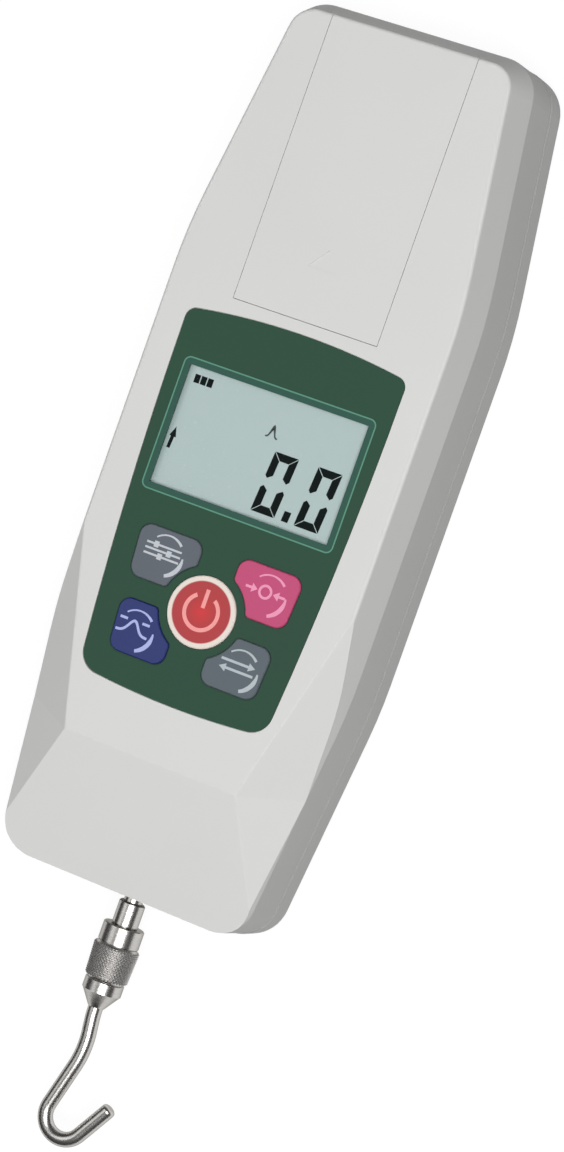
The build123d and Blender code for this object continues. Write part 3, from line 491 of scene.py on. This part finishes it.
def power_silicone():
    """The face of the power key: a painted highlight in the red middle, a deeper red round it and a cream
    rim.
    """
    material = silicone("power_silicone", RED_FACE)
    tree = material.node_tree
    shader = tree.nodes["Principled BSDF"]
    centred = tree.nodes.new("ShaderNodeMapping")
    centred.inputs["Location"].default_value = (0, -POWER_Y / POWER_R, 0)
    centred.inputs["Scale"].default_value = (1 / POWER_R, 1 / POWER_R, 0)
    radius = tree.nodes.new("ShaderNodeVectorMath")
    radius.operation = "LENGTH"
    bands = tree.nodes.new("ShaderNodeValToRGB")
    rim = POWER_RIM_R / POWER_R
    bands.color_ramp.elements[0].color = RED_PAINTED_HIGHLIGHT
    bands.color_ramp.elements[1].color = CREAM
    bands.color_ramp.elements[1].position = rim + RIM_BLUR
    for position, colour in ((RED_FACE_FROM, RED_FACE), (rim, RED_EDGE)):
        bands.color_ramp.elements.new(position).color = colour
    tree.links.new(object_place(tree), centred.inputs["Vector"])
    tree.links.new(centred.outputs["Vector"], radius.inputs[0])
    tree.links.new(radius.outputs["Value"], bands.inputs["Fac"])
    tree.links.new(bands.outputs["Color"], shader.inputs["Base Color"])
    return material


def arc_band(x, y, radius, start, end, widths, steps=28):
    """A band along an arc, whose width goes evenly through the given widths."""
    outer, inner = [], []
    for step in range(steps + 1):
        part = step / steps
        angle = start + (end - start) * part
        place = part * (len(widths) - 1)
        at = min(int(place), len(widths) - 2)
        half = (widths[at] + (widths[at + 1] - widths[at]) * (place - at)) / 2
        outer.append((x + (radius + half) * math.cos(angle), y + (radius + half) * math.sin(angle)))
        inner.append((x + (radius - half) * math.cos(angle), y + (radius - half) * math.sin(angle)))
    return outer + inner[::-1]


def sweep(x, y):
    """The round sweep behind a sign: a thin arc over it and a thick one under it."""
    thin = arc_band(x, y, SWEEP_R, math.radians(132), math.radians(44),
                    (SWEEP_THIN, SWEEP_THIN, SWEEP_THIN * 1.7))
    thick = arc_band(x, y, SWEEP_R, math.radians(8), math.radians(-70),
                     (SWEEP_THIN, SWEEP_THICK, SWEEP_THICK, SWEEP_THICK * 0.7))
    return [thin, thick]


def sliders_sign(x, y):
    """Three sliders, for the settings."""
    parts = []
    for row, knob in ((1, -0.45), (0, 0.35), (-1, -0.1)):
        level = y + row * SIGN_HALF_H * 0.85
        left = x + knob * SIGN_HALF_W - SIGN_STROKE
        right = left + 2 * SIGN_STROKE
        parts.append(stroke([(x - SIGN_HALF_W, level), (left, level)], SIGN_STROKE * 0.8))
        parts.append(stroke([(right, level), (x + SIGN_HALF_W, level)], SIGN_STROKE * 0.8))
        parts.append(rectangle(left, level - 1.2 * SIGN_STROKE, 2 * SIGN_STROKE, 2.4 * SIGN_STROKE))
    return parts


def zero_sign(x, y):
    """Two arrows that close in on the zero point, drawn as a ring."""
    parts = []
    for side in (1, -1):
        tail = x + side * SIGN_HALF_W * 1.1
        parts.append(arrow(tail, y, SIGN_HALF_W * 0.66, SIGN_STROKE, SIGN_STROKE * 3.6, SIGN_STROKE * 2.4,
                           side * math.pi / 2))
    for half in (0, math.pi):
        parts.append(arc_band(x, y, SIGN_HALF_H * 0.95, half, half + math.pi,
                              (SIGN_STROKE, SIGN_STROKE), 14))
    return parts


def peak_sign(x, y):
    """A load curve with its peak, and the level that it reached."""
    reach = SIGN_HALF_W * 0.9
    parts = [stroke(bell(x - reach, y - SIGN_HALF_H, 2 * reach, 2 * SIGN_HALF_H, 0.20, 24), SIGN_STROKE)]
    level = y + SIGN_HALF_H
    for side in (1, -1):
        dash = [(x + side * SIGN_HALF_W * part, level) for part in (0.42, 0.85)]
        parts.append(stroke(dash, SIGN_STROKE))
    return parts


def unit_sign(x, y):
    """Two arrows in opposite directions, for a change of unit."""
    parts = []
    for side in (1, -1):
        parts.append(arrow(x - side * SIGN_HALF_W * 0.95, y + side * SIGN_HALF_H * 0.62, SIGN_HALF_W * 1.9,
                           SIGN_STROKE, SIGN_STROKE * 3.2, SIGN_STROKE * 2.8, -side * math.pi / 2))
    return parts


def key_loop(name, grow):
    """The outline of a key at its shoulder, grown all round."""
    shoulder = KEY_TOP_Z - KEY_BEVEL
    found = {(round(v.co.x, 7), round(v.co.y, 7)) for v in nodes["key_" + name].data.vertices
             if abs(v.co.z - shoulder) < MM / 200}
    middle = Vector((sum(x for x, _ in found), sum(y for _, y in found))) / len(found)
    loop = [Vector(p) for p in sorted(found, key=lambda p: math.atan2(p[1] - middle.y, p[0] - middle.x))]
    grown_loop = []
    for i, point in enumerate(loop):
        along = (loop[(i + 1) % len(loop)] - loop[i - 1]).normalized()
        grown_loop.append((point.x + grow * along.y, point.y - grow * along.x))
    return grown_loop


KEYS = ("power", *KEY_COLOURS)
printed("key_seats", [key_loop(key, KEY_GAP) for key in KEYS], PANEL_FACE_Z - SEAT_DROP,
        ink("seat_ink", PANEL_SHADE), "housing", [key_loop(key, SEAT_CLEAR) for key in KEYS])
give(power_silicone(), "key_power")
power_mark = [arc_band(0, POWER_Y, RING_R, math.pi / 2 + RING_GAP, math.pi * 2.5 - RING_GAP,
                       (RING_STROKE, RING_STROKE), 48),
              stroke([(0, POWER_Y + BAR_LOW), (0, POWER_Y + BAR_HIGH)], RING_STROKE)]
printed("power_mark", power_mark, KEY_TOP_Z, ink("power_mark_ink", POWER_MARK), "key_power_unit")

SIGNS = {"upper_left": sliders_sign, "upper_right": zero_sign,
         "lower_left": peak_sign, "lower_right": unit_sign}
for key, sign in SIGNS.items():
    give(silicone(key + "_silicone", KEY_COLOURS[key]), "key_" + key)
    low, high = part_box("plunger_" + key)
    middle_x = (low.x + high.x) / 2 + MARK_PLACES[key][0]
    middle_y = (low.y + high.y) / 2 + MARK_PLACES[key][1]
    printed(key + "_mark", sweep(middle_x, middle_y) + sign(middle_x - SIGN_STROKE, middle_y + SIGN_STROKE),
            KEY_TOP_Z, ink(key + "_ink", MARK_COLOURS[key]), f"key_{key}_unit")

# ---- Spindle and hook ----
# The spindle is turned from steel and the hook is bent from round wire, and both are nickel
# plated and polished. Fine turning or drawing marks run round the pieces.
NICKEL = (0.60, 0.585, 0.565, 1)
NICKEL_SHADE = (0.52, 0.505, 0.485, 1)
NICKEL_EDGE = (0.42, 0.41, 0.39, 1)    # at a grazing angle
NICKEL_ROUGHNESS = (0.23, 0.33)


def metal(name, colour, shade, roughness, marks, mark_scale, edge=WHITE):
    """Bare or plated metal. Its marks are a noise drawn out along one axis."""
    material, tree, shader = new_material(name)
    drawn = tree.nodes.new("ShaderNodeMapping")
    drawn.inputs["Scale"].default_value = marks
    tree.links.new(object_place(tree), drawn.inputs["Vector"])
    grain = noise(tree, drawn.outputs["Vector"], mark_scale, 3)
    tree.links.new(mixed(tree, grain, colour, shade, "RGBA"), shader.inputs["Base Color"])
    tree.links.new(ranged(tree, grain, roughness), shader.inputs["Roughness"])
    shader.inputs["Metallic"].default_value = 1.0
    shader.inputs["Specular Tint"].default_value = edge
    return material


polished_nickel = metal("polished_nickel", NICKEL, NICKEL_SHADE, NICKEL_ROUGHNESS, (1, 6, 1), 400,
                        NICKEL_EDGE)
give(polished_nickel, "spindle", "hook")

# ---- Knurled adapter ----
# A turned steel sleeve screws onto the spindle's stud and carries the hook. Its grip has a
# diamond knurl, rolled between a smooth ring and a smooth band.
ADAPTER_AXIS_Z = sum(corner.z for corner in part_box("hook_adapter")) / 2
ADAPTER_TOP_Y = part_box("hook_adapter")[1].y
SLEEVE_BORE_R, SLEEVE_BORE_L = 3.1 * MM, 8.5 * MM
TOP_RING_R, TOP_RING_L = 5.5 * MM, 5.1 * MM
GRIP_R, GRIP_LOW_R, GRIP_L, GRIP_BEVEL = 6.2 * MM, 5.8 * MM, 9.9 * MM, 0.7 * MM
LOW_BAND_R, LOW_BAND_L = 5.25 * MM, 3.3 * MM
CONE_END_R, CONE_L = 2.2 * MM, 4.0 * MM
GROOVE = 0.25 * MM
SMOOTH_UP_TO = math.radians(28)
KNURL_DEPTH, KNURL_AROUND, KNURL_ROWS = 0.42 * MM, 38, 15
KNURL_GREY = (0.62, 0.61, 0.60, 1)
KNURL_SHADE = (0.43, 0.42, 0.41, 1)


def lathe(name, profile, z, material, steps=96):
    """A solid turned about the Y axis at height z, from a closed profile of (radius, y)."""
    mesh = bmesh.new()
    rings = []
    for step in range(steps):
        angle = 2 * math.pi * step / steps
        rings.append([mesh.verts.new((r * math.sin(angle), y, z + r * math.cos(angle))) for r, y in profile])
    count = len(profile)
    for step in range(steps):
        ring, following = rings[step], rings[(step + 1) % steps]
        for i in range(count):
            j = (i + 1) % count
            mesh.faces.new((ring[i], ring[j], following[j], following[i]))
    bmesh.ops.remove_doubles(mesh, verts=mesh.verts, dist=MM / 1000)
    bmesh.ops.dissolve_degenerate(mesh, edges=mesh.edges, dist=MM / 1000)
    piece = finished(name, mesh, material)
    piece.data.shade_smooth()
    piece.data.set_sharp_from_angle(angle=SMOOTH_UP_TO)
    return piece


def new_tree(name, **values):
    """A geometry tree, with a named input for each value. A name's underscores become spaces."""
    tree = bpy.data.node_groups.new(name, "GeometryNodeTree")
    tree.interface.new_socket("Geometry", in_out="INPUT", socket_type="NodeSocketGeometry")
    tree.interface.new_socket("Geometry", in_out="OUTPUT", socket_type="NodeSocketGeometry")
    for value_name, value in values.items():
        kind = "NodeSocketInt" if isinstance(value, int) else "NodeSocketFloat"
        socket = tree.interface.new_socket(value_name.replace("_", " "), in_out="INPUT", socket_type=kind)
        socket.default_value = value
    return tree, tree.nodes.new("NodeGroupInput").outputs


def end_tree(tree, geometry, material):
    """Ends a tree: its instances are made real, and all of it gets its material."""
    realised = tree.nodes.new("GeometryNodeRealizeInstances")
    painted = tree.nodes.new("GeometryNodeSetMaterial")
    painted.inputs["Material"].default_value = material
    out = tree.nodes.new("NodeGroupOutput")
    tree.links.new(geometry, realised.inputs["Geometry"])
    tree.links.new(realised.outputs["Geometry"], painted.inputs["Geometry"])
    tree.links.new(painted.outputs["Geometry"], out.inputs["Geometry"])


def vector(tree, **parts):
    """A vector made of the parts X, Y and Z that are given. The others are 0."""
    node = tree.nodes.new("ShaderNodeCombineXYZ")
    for part, source in parts.items():
        tree.links.new(source, node.inputs[part])
    return node.outputs["Vector"]


def diamond_points(tree, given):
    """Diamond points where two helixes cross. Every other row is shifted by half a point."""
    index = tree.nodes.new("GeometryNodeInputIndex").outputs["Index"]
    row = maths(tree, "FLOOR", maths(tree, "DIVIDE", maths(tree, "ADD", index, 0.5), given["Around"]))
    column = maths(tree, "SUBTRACT", index, maths(tree, "MULTIPLY", row, given["Around"]))
    shifted = maths(tree, "ADD", column, maths(tree, "MULTIPLY", maths(tree, "MODULO", row, 2.0), 0.5))
    angle = maths(tree, "MULTIPLY", maths(tree, "DIVIDE", shifted, given["Around"]), 2 * math.pi)
    pitch = maths(tree, "DIVIDE", given["Length"], given["Rows"])
    from_start = maths(tree, "MULTIPLY", maths(tree, "ADD", row, 0.5), pitch)
    narrowing = maths(tree, "SUBTRACT", given["Radius"], given["Low Radius"])
    taper = maths(tree, "DIVIDE", narrowing, given["Rows"])
    outer = maths(tree, "SUBTRACT", given["Radius"], maths(tree, "MULTIPLY", row, taper))
    foot = maths(tree, "SUBTRACT", outer, given["Depth"])
    above_axis = maths(tree, "MULTIPLY", foot, maths(tree, "COSINE", angle))
    place = vector(tree, X=maths(tree, "MULTIPLY", foot, maths(tree, "SINE", angle)),
                   Y=maths(tree, "SUBTRACT", given["Start"], from_start),
                   Z=maths(tree, "ADD", given["Height"], above_axis))
    points = tree.nodes.new("GeometryNodePoints")
    tree.links.new(maths(tree, "MULTIPLY", given["Around"], given["Rows"]), points.inputs["Count"])
    tree.links.new(place, points.inputs["Position"])
    diamond = tree.nodes.new("GeometryNodeMeshCone")
    diamond.inputs["Vertices"].default_value = 4
    diamond.inputs["Radius Top"].default_value = 0.0
    diamond.inputs["Radius Bottom"].default_value = 1.0
    diamond.inputs["Depth"].default_value = 1.0
    half_way = maths(tree, "MULTIPLY", given["Radius"], math.pi)
    spread = tree.nodes.new("GeometryNodeInstanceOnPoints")
    tree.links.new(points.outputs[0], spread.inputs["Points"])
    tree.links.new(diamond.outputs["Mesh"], spread.inputs["Instance"])
    tree.links.new(vector(tree, Y=angle), spread.inputs["Rotation"])
    width = maths(tree, "DIVIDE", half_way, given["Around"])
    tree.links.new(vector(tree, X=width, Y=pitch, Z=given["Depth"]), spread.inputs["Scale"])
    return spread.outputs["Instances"]


def grip_core(tree, given):
    """The slightly tapered core under the points."""
    core = tree.nodes.new("GeometryNodeMeshCone")
    core.inputs["Vertices"].default_value = 96
    for end, radius in (("Radius Top", "Radius"), ("Radius Bottom", "Low Radius")):
        tree.links.new(maths(tree, "SUBTRACT", given[radius], given["Depth"]), core.inputs[end])
    tree.links.new(given["Length"], core.inputs["Depth"])
    low_end = vector(tree, Y=maths(tree, "SUBTRACT", given["Start"], given["Length"]), Z=given["Height"])
    laid = tree.nodes.new("GeometryNodeTransform")
    laid.inputs["Rotation"].default_value = (-math.pi / 2, 0, 0)
    tree.links.new(core.outputs["Mesh"], laid.inputs["Geometry"])
    tree.links.new(low_end, laid.inputs["Translation"])
    return laid.outputs["Geometry"]


def knurl_tree(material):
    """The grip: its core with the diamond points on it."""
    tree, given = new_tree("diamond_knurl", Radius=GRIP_R, Low_Radius=GRIP_LOW_R, Length=GRIP_L, Start=0.0,
                           Height=0.0, Depth=KNURL_DEPTH, Around=KNURL_AROUND, Rows=KNURL_ROWS)
    grip = tree.nodes.new("GeometryNodeJoinGeometry")
    tree.links.new(diamond_points(tree, given), grip.inputs["Geometry"])
    tree.links.new(grip_core(tree, given), grip.inputs["Geometry"])
    end_tree(tree, grip.outputs["Geometry"], material)
    return tree


def grown(name, tree, base, **settings):
    """Runs a geometry tree with the given inputs, and keeps its result as a plain mesh."""
    carrier = bpy.data.objects.new(name + "_carrier", base)
    scene.collection.objects.link(carrier)
    modifier = carrier.modifiers.new(name, "NODES")
    modifier.node_group = tree
    for item in tree.interface.items_tree:
        if item.in_out == "INPUT" and item.name in settings:
            modifier[item.identifier] = settings[item.name]
    made = bpy.data.meshes.new_from_object(carrier.evaluated_get(bpy.context.evaluated_depsgraph_get()))
    carrier.modifiers.remove(modifier)
    bpy.data.objects.remove(carrier)
    piece = bpy.data.objects.new(name, made)
    scene.collection.objects.link(piece)
    return piece


grip_start = ADAPTER_TOP_Y - TOP_RING_L
grip_end = grip_start - GRIP_L
core_r = GRIP_LOW_R - 1.5 * KNURL_DEPTH
sleeve = lathe("adapter_sleeve", [
    (SLEEVE_BORE_R, ADAPTER_TOP_Y), (TOP_RING_R - GROOVE, ADAPTER_TOP_Y),
    (TOP_RING_R, ADAPTER_TOP_Y - GROOVE), (TOP_RING_R, grip_start + GROOVE),
    (TOP_RING_R - GROOVE, grip_start),
    (GRIP_R - KNURL_DEPTH, grip_start - GRIP_BEVEL), (core_r, grip_start - GRIP_BEVEL),
    (core_r, grip_end + GRIP_BEVEL), (GRIP_LOW_R - KNURL_DEPTH, grip_end + GRIP_BEVEL),
    (LOW_BAND_R - GROOVE, grip_end), (LOW_BAND_R, grip_end - GROOVE),
    (LOW_BAND_R, grip_end - LOW_BAND_L + GROOVE),
    (LOW_BAND_R - GROOVE, grip_end - LOW_BAND_L), (CONE_END_R, grip_end - LOW_BAND_L - CONE_L),
    (0, grip_end - LOW_BAND_L - CONE_L), (0, ADAPTER_TOP_Y - SLEEVE_BORE_L),
    (SLEEVE_BORE_R, ADAPTER_TOP_Y - SLEEVE_BORE_L),
], ADAPTER_AXIS_Z, polished_nickel)
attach(sleeve, "hook_unit")
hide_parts("hook_adapter")

satin_nickel = metal("satin_nickel", KNURL_GREY, KNURL_SHADE, (0.38, 0.50), (1, 1, 1), 2500)
knurl = grown("adapter_knurl", knurl_tree(satin_nickel), bpy.data.meshes.new("knurl_base"),
              Length=GRIP_L - 2 * GRIP_BEVEL, Start=grip_start - GRIP_BEVEL, Height=ADAPTER_AXIS_Z)
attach(knurl, "hook_unit")

# ---- Battery compartment ----
# Six small cells lie in two layers in a black holder. Nickel-plated plates at its ends touch
# their nubs, and conical springs press on their flat ends.
CELL_R, CELL_L = 5.25 * MM, 43.3 * MM
CELL_NUB_L = 1.2 * MM
CELLS_Y = sum(corner.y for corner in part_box("battery_cells")) / 2
CELL_COLUMNS = 3
JACKET = (0.030, 0.034, 0.038, 1)
JACKET_SHADE = (0.020, 0.022, 0.025, 1)
JACKET_SHORT = 0.8 * MM                # how far each end of the can stays bare
CAN_STEEL = (0.60, 0.60, 0.59, 1)
HOLDER_BLACK = (0.022, 0.022, 0.024, 1)
HOLDER_SHADE = (0.030, 0.030, 0.032, 1)
CONTACT_NICKEL = (0.66, 0.64, 0.60, 1)
CONTACT_SHADE = (0.58, 0.56, 0.52, 1)
PLATE_SIDE, PLATE_T, PLATE_BEVEL = 8.0 * MM, 0.5 * MM, 0.15 * MM
BUTTON_R, BUTTON_TIP_R = 2.6 * MM, 1.8 * MM
SPRING_WIRE_R, SPRING_WIDE_R, SPRING_TIP_R, SPRING_TURNS = 0.3 * MM, 3.4 * MM, 2.0 * MM, 4.0


def cell_jacket():
    """The cells: a dark printed jacket, with the bare steel can showing at both ends."""
    material, tree, shader = new_material("cell_jacket")
    place = object_place(tree)
    parts = tree.nodes.new("ShaderNodeSeparateXYZ")
    tree.links.new(place, parts.inputs["Vector"])
    jacket = mixed(tree, noise(tree, place, 350), JACKET, JACKET_SHADE, "RGBA")
    away = maths(tree, "ABSOLUTE", maths(tree, "SUBTRACT", parts.outputs["Y"], CELLS_Y))
    covered = maths(tree, "LESS_THAN", away, CELL_L / 2 - JACKET_SHORT)
    tree.links.new(mixed(tree, covered, CAN_STEEL, jacket, "RGBA"), shader.inputs["Base Color"])
    tree.links.new(maths(tree, "SUBTRACT", 1.0, covered), shader.inputs["Metallic"])
    shader.inputs["Roughness"].default_value = 0.3
    return material


def cell_ends():
    """For both ends of each cell: x, y of the plate, z, the way to the cell, and whether it's flat."""
    low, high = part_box("battery_cells")
    contacts_low, contacts_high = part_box("battery_contacts")
    ends = []
    for layer, z in enumerate((low.z + CELL_R, high.z - CELL_R)):
        for column in range(CELL_COLUMNS):
            x = low.x + CELL_R + (high.x - low.x - 2 * CELL_R) * column / (CELL_COLUMNS - 1)
            nub_way = 1 if (column + layer) % 2 else -1
            ends.append((x, contacts_high.y, z, -1, nub_way < 0))
            ends.append((x, contacts_low.y, z, 1, nub_way > 0))
    return ends


def contact_plates(material):
    """A plate behind each end of each cell, with a pressed button where the cell's nub rests."""
    mesh = bmesh.new()
    size = Matrix.Diagonal((PLATE_SIDE, PLATE_T, PLATE_SIDE, 1))
    for x, y, z, way, flat in cell_ends():
        middle = Matrix.Translation((x, y + way * PLATE_T / 2, z))
        plate = bmesh.ops.create_cube(mesh, size=1.0, matrix=middle @ size)
        edges = {edge for corner in plate["verts"] for edge in corner.link_edges}
        bmesh.ops.bevel(mesh, geom=list(edges), offset=PLATE_BEVEL, segments=1, affect="EDGES")
        if not flat:
            reach = abs(CELLS_Y - y) - PLATE_T - CELL_L / 2 - CELL_NUB_L
            turn = Matrix.Rotation(-way * math.pi / 2, 4, "X")
            seat = Matrix.Translation((x, y + way * (PLATE_T + reach / 2), z)) @ turn
            bmesh.ops.create_cone(mesh, cap_ends=True, segments=24, radius1=BUTTON_R, radius2=BUTTON_TIP_R,
                                  depth=reach, matrix=seat)
    return finished("contact_plates", mesh, material)


def spring_tree(material):
    """A conical coil spring on each point, turned by the point's own angle."""
    tree, given = new_tree("conical_springs", Height=4.0 * MM, Wide_Radius=SPRING_WIDE_R,
                           Tip_Radius=SPRING_TIP_R, Turns=SPRING_TURNS, Wire_Radius=SPRING_WIRE_R)
    coil = tree.nodes.new("GeometryNodeCurveSpiral")
    coil.inputs["Resolution"].default_value = 28
    for socket, source in (("Rotations", "Turns"), ("Start Radius", "Wide Radius"),
                           ("End Radius", "Tip Radius"), ("Height", "Height")):
        tree.links.new(given[source], coil.inputs[socket])
    section = tree.nodes.new("GeometryNodeCurvePrimitiveCircle")
    section.inputs["Resolution"].default_value = 10
    tree.links.new(given["Wire Radius"], section.inputs["Radius"])
    wire = tree.nodes.new("GeometryNodeCurveToMesh")
    wire.inputs["Fill Caps"].default_value = True
    tree.links.new(coil.outputs["Curve"], wire.inputs["Curve"])
    tree.links.new(section.outputs["Curve"], wire.inputs["Profile Curve"])
    turned = tree.nodes.new("GeometryNodeInputNamedAttribute")
    turned.inputs["Name"].default_value = "turn"
    spread = tree.nodes.new("GeometryNodeInstanceOnPoints")
    tree.links.new(given["Geometry"], spread.inputs["Points"])
    tree.links.new(wire.outputs["Mesh"], spread.inputs["Instance"])
    tree.links.new(vector(tree, X=turned.outputs["Attribute"]), spread.inputs["Rotation"])
    end_tree(tree, spread.outputs["Instances"], material)
    return tree


def spring_seats():
    """A point on the plate behind the flat end of each cell, with the turn that faces the cell."""
    flat_ends = [end for end in cell_ends() if end[4]]
    seats = bpy.data.meshes.new("spring_seats")
    seats.from_pydata([(x, y + way * (PLATE_T + SPRING_WIRE_R), z) for x, y, z, way, _ in flat_ends], [], [])
    turns = seats.attributes.new("turn", "FLOAT", "POINT")
    turns.data.foreach_set("value", [-way * math.pi / 2 for _, _, _, way, _ in flat_ends])
    return seats


give(cell_jacket(), "battery_cells")
give(moulded_plastic("holder_black", HOLDER_BLACK, HOLDER_SHADE, (0.40, 0.55), 1800, 0.10), "battery_holder")
spring_nickel = metal("spring_nickel", CONTACT_NICKEL, CONTACT_SHADE, (0.18, 0.30), (1, 1, 1), 600)
plates = contact_plates(spring_nickel)
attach(plates, "housing")
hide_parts("battery_contacts")
spring_reach = (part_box("battery_contacts")[1].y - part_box("battery_cells")[1].y + CELL_NUB_L
                - PLATE_T - 2 * SPRING_WIRE_R)
springs = grown("contact_springs", spring_tree(spring_nickel), spring_seats(), Height=spring_reach)
springs.data.shade_smooth()
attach(springs, "housing")

# ---- Circuit board ----
# A green glass-fibre board with black moulded parts on its back. It carries the display in a
# white frame with its light guide, and the five domed switches with their nylon plungers.
LAMINATE, LAMINATE_SHADE = (0.020, 0.105, 0.045, 1), (0.014, 0.080, 0.036, 1)
CHIP_BLACK, CHIP_SHADE = (0.016, 0.016, 0.018, 1), (0.024, 0.024, 0.026, 1)
FRAME_WHITE, FRAME_SHADE = (0.74, 0.74, 0.72, 1), (0.70, 0.70, 0.68, 1)
NYLON, NYLON_SHADE = (0.70, 0.66, 0.56, 1), (0.66, 0.61, 0.51, 1)

give(moulded_plastic("board_laminate", LAMINATE, LAMINATE_SHADE, (0.25, 0.38), 1200, 0.06), "main_board")
give(moulded_plastic("chip_black", CHIP_BLACK, CHIP_SHADE, (0.45, 0.60), 2200, 0.12),
     "board_components", "switch_housings")
give(moulded_plastic("frame_white", FRAME_WHITE, FRAME_SHADE, (0.35, 0.48), 1800, 0.05),
     "lcd_frame", "lcd_backlight")
give(moulded_plastic("natural_nylon", NYLON, NYLON_SHADE, (0.35, 0.45), 1500, 0.04),
     *("plunger_" + key for key in KEYS))

# ---- Load path ----
# A milled aluminium load cell with foil gauges bends when the spindle is pulled. A zinc-plated
# angle holds it, black socket-head bolts clamp it, and a sintered bronze bush guides the rod.
ALUMINIUM, ALUMINIUM_SHADE = (0.72, 0.73, 0.74, 1), (0.64, 0.65, 0.66, 1)
FOIL, FOIL_SHADE = (0.50, 0.25, 0.06, 1), (0.42, 0.19, 0.04, 1)
ZINC, ZINC_SHADE = (0.56, 0.575, 0.59, 1), (0.47, 0.485, 0.50, 1)
BLACK_OXIDE, BLACK_SHADE = (0.045, 0.045, 0.05, 1), (0.03, 0.03, 0.035, 1)
BRASS, BRASS_SHADE = (0.60, 0.43, 0.17, 1), (0.52, 0.36, 0.13, 1)
BRONZE, BRONZE_SHADE = (0.13, 0.095, 0.065, 1), (0.09, 0.065, 0.045, 1)

give(metal("milled_aluminium", ALUMINIUM, ALUMINIUM_SHADE, (0.28, 0.42), (1, 14, 14), 180),
     "load_cell", "load_cell_live_arm")
give(ink("gauge_foil", FOIL, FOIL_SHADE, 0.35), "strain_gauges")
give(metal("zinc_plate", ZINC, ZINC_SHADE, (0.28, 0.45), (1, 1, 1), 260),
     "cell_bracket", "bracket_screws", "board_screws", "case_screws")
give(metal("black_oxide", BLACK_OXIDE, BLACK_SHADE, (0.35, 0.50), (1, 1, 1), 400), "cell_bolts")
give(metal("turned_brass", BRASS, BRASS_SHADE, (0.22, 0.34), (1, 8, 8), 300), "mounting_inserts")
give(metal("sintered_bronze", BRONZE, BRONZE_SHADE, (0.45, 0.60), (1, 1, 1), 1500), "guide_bush")
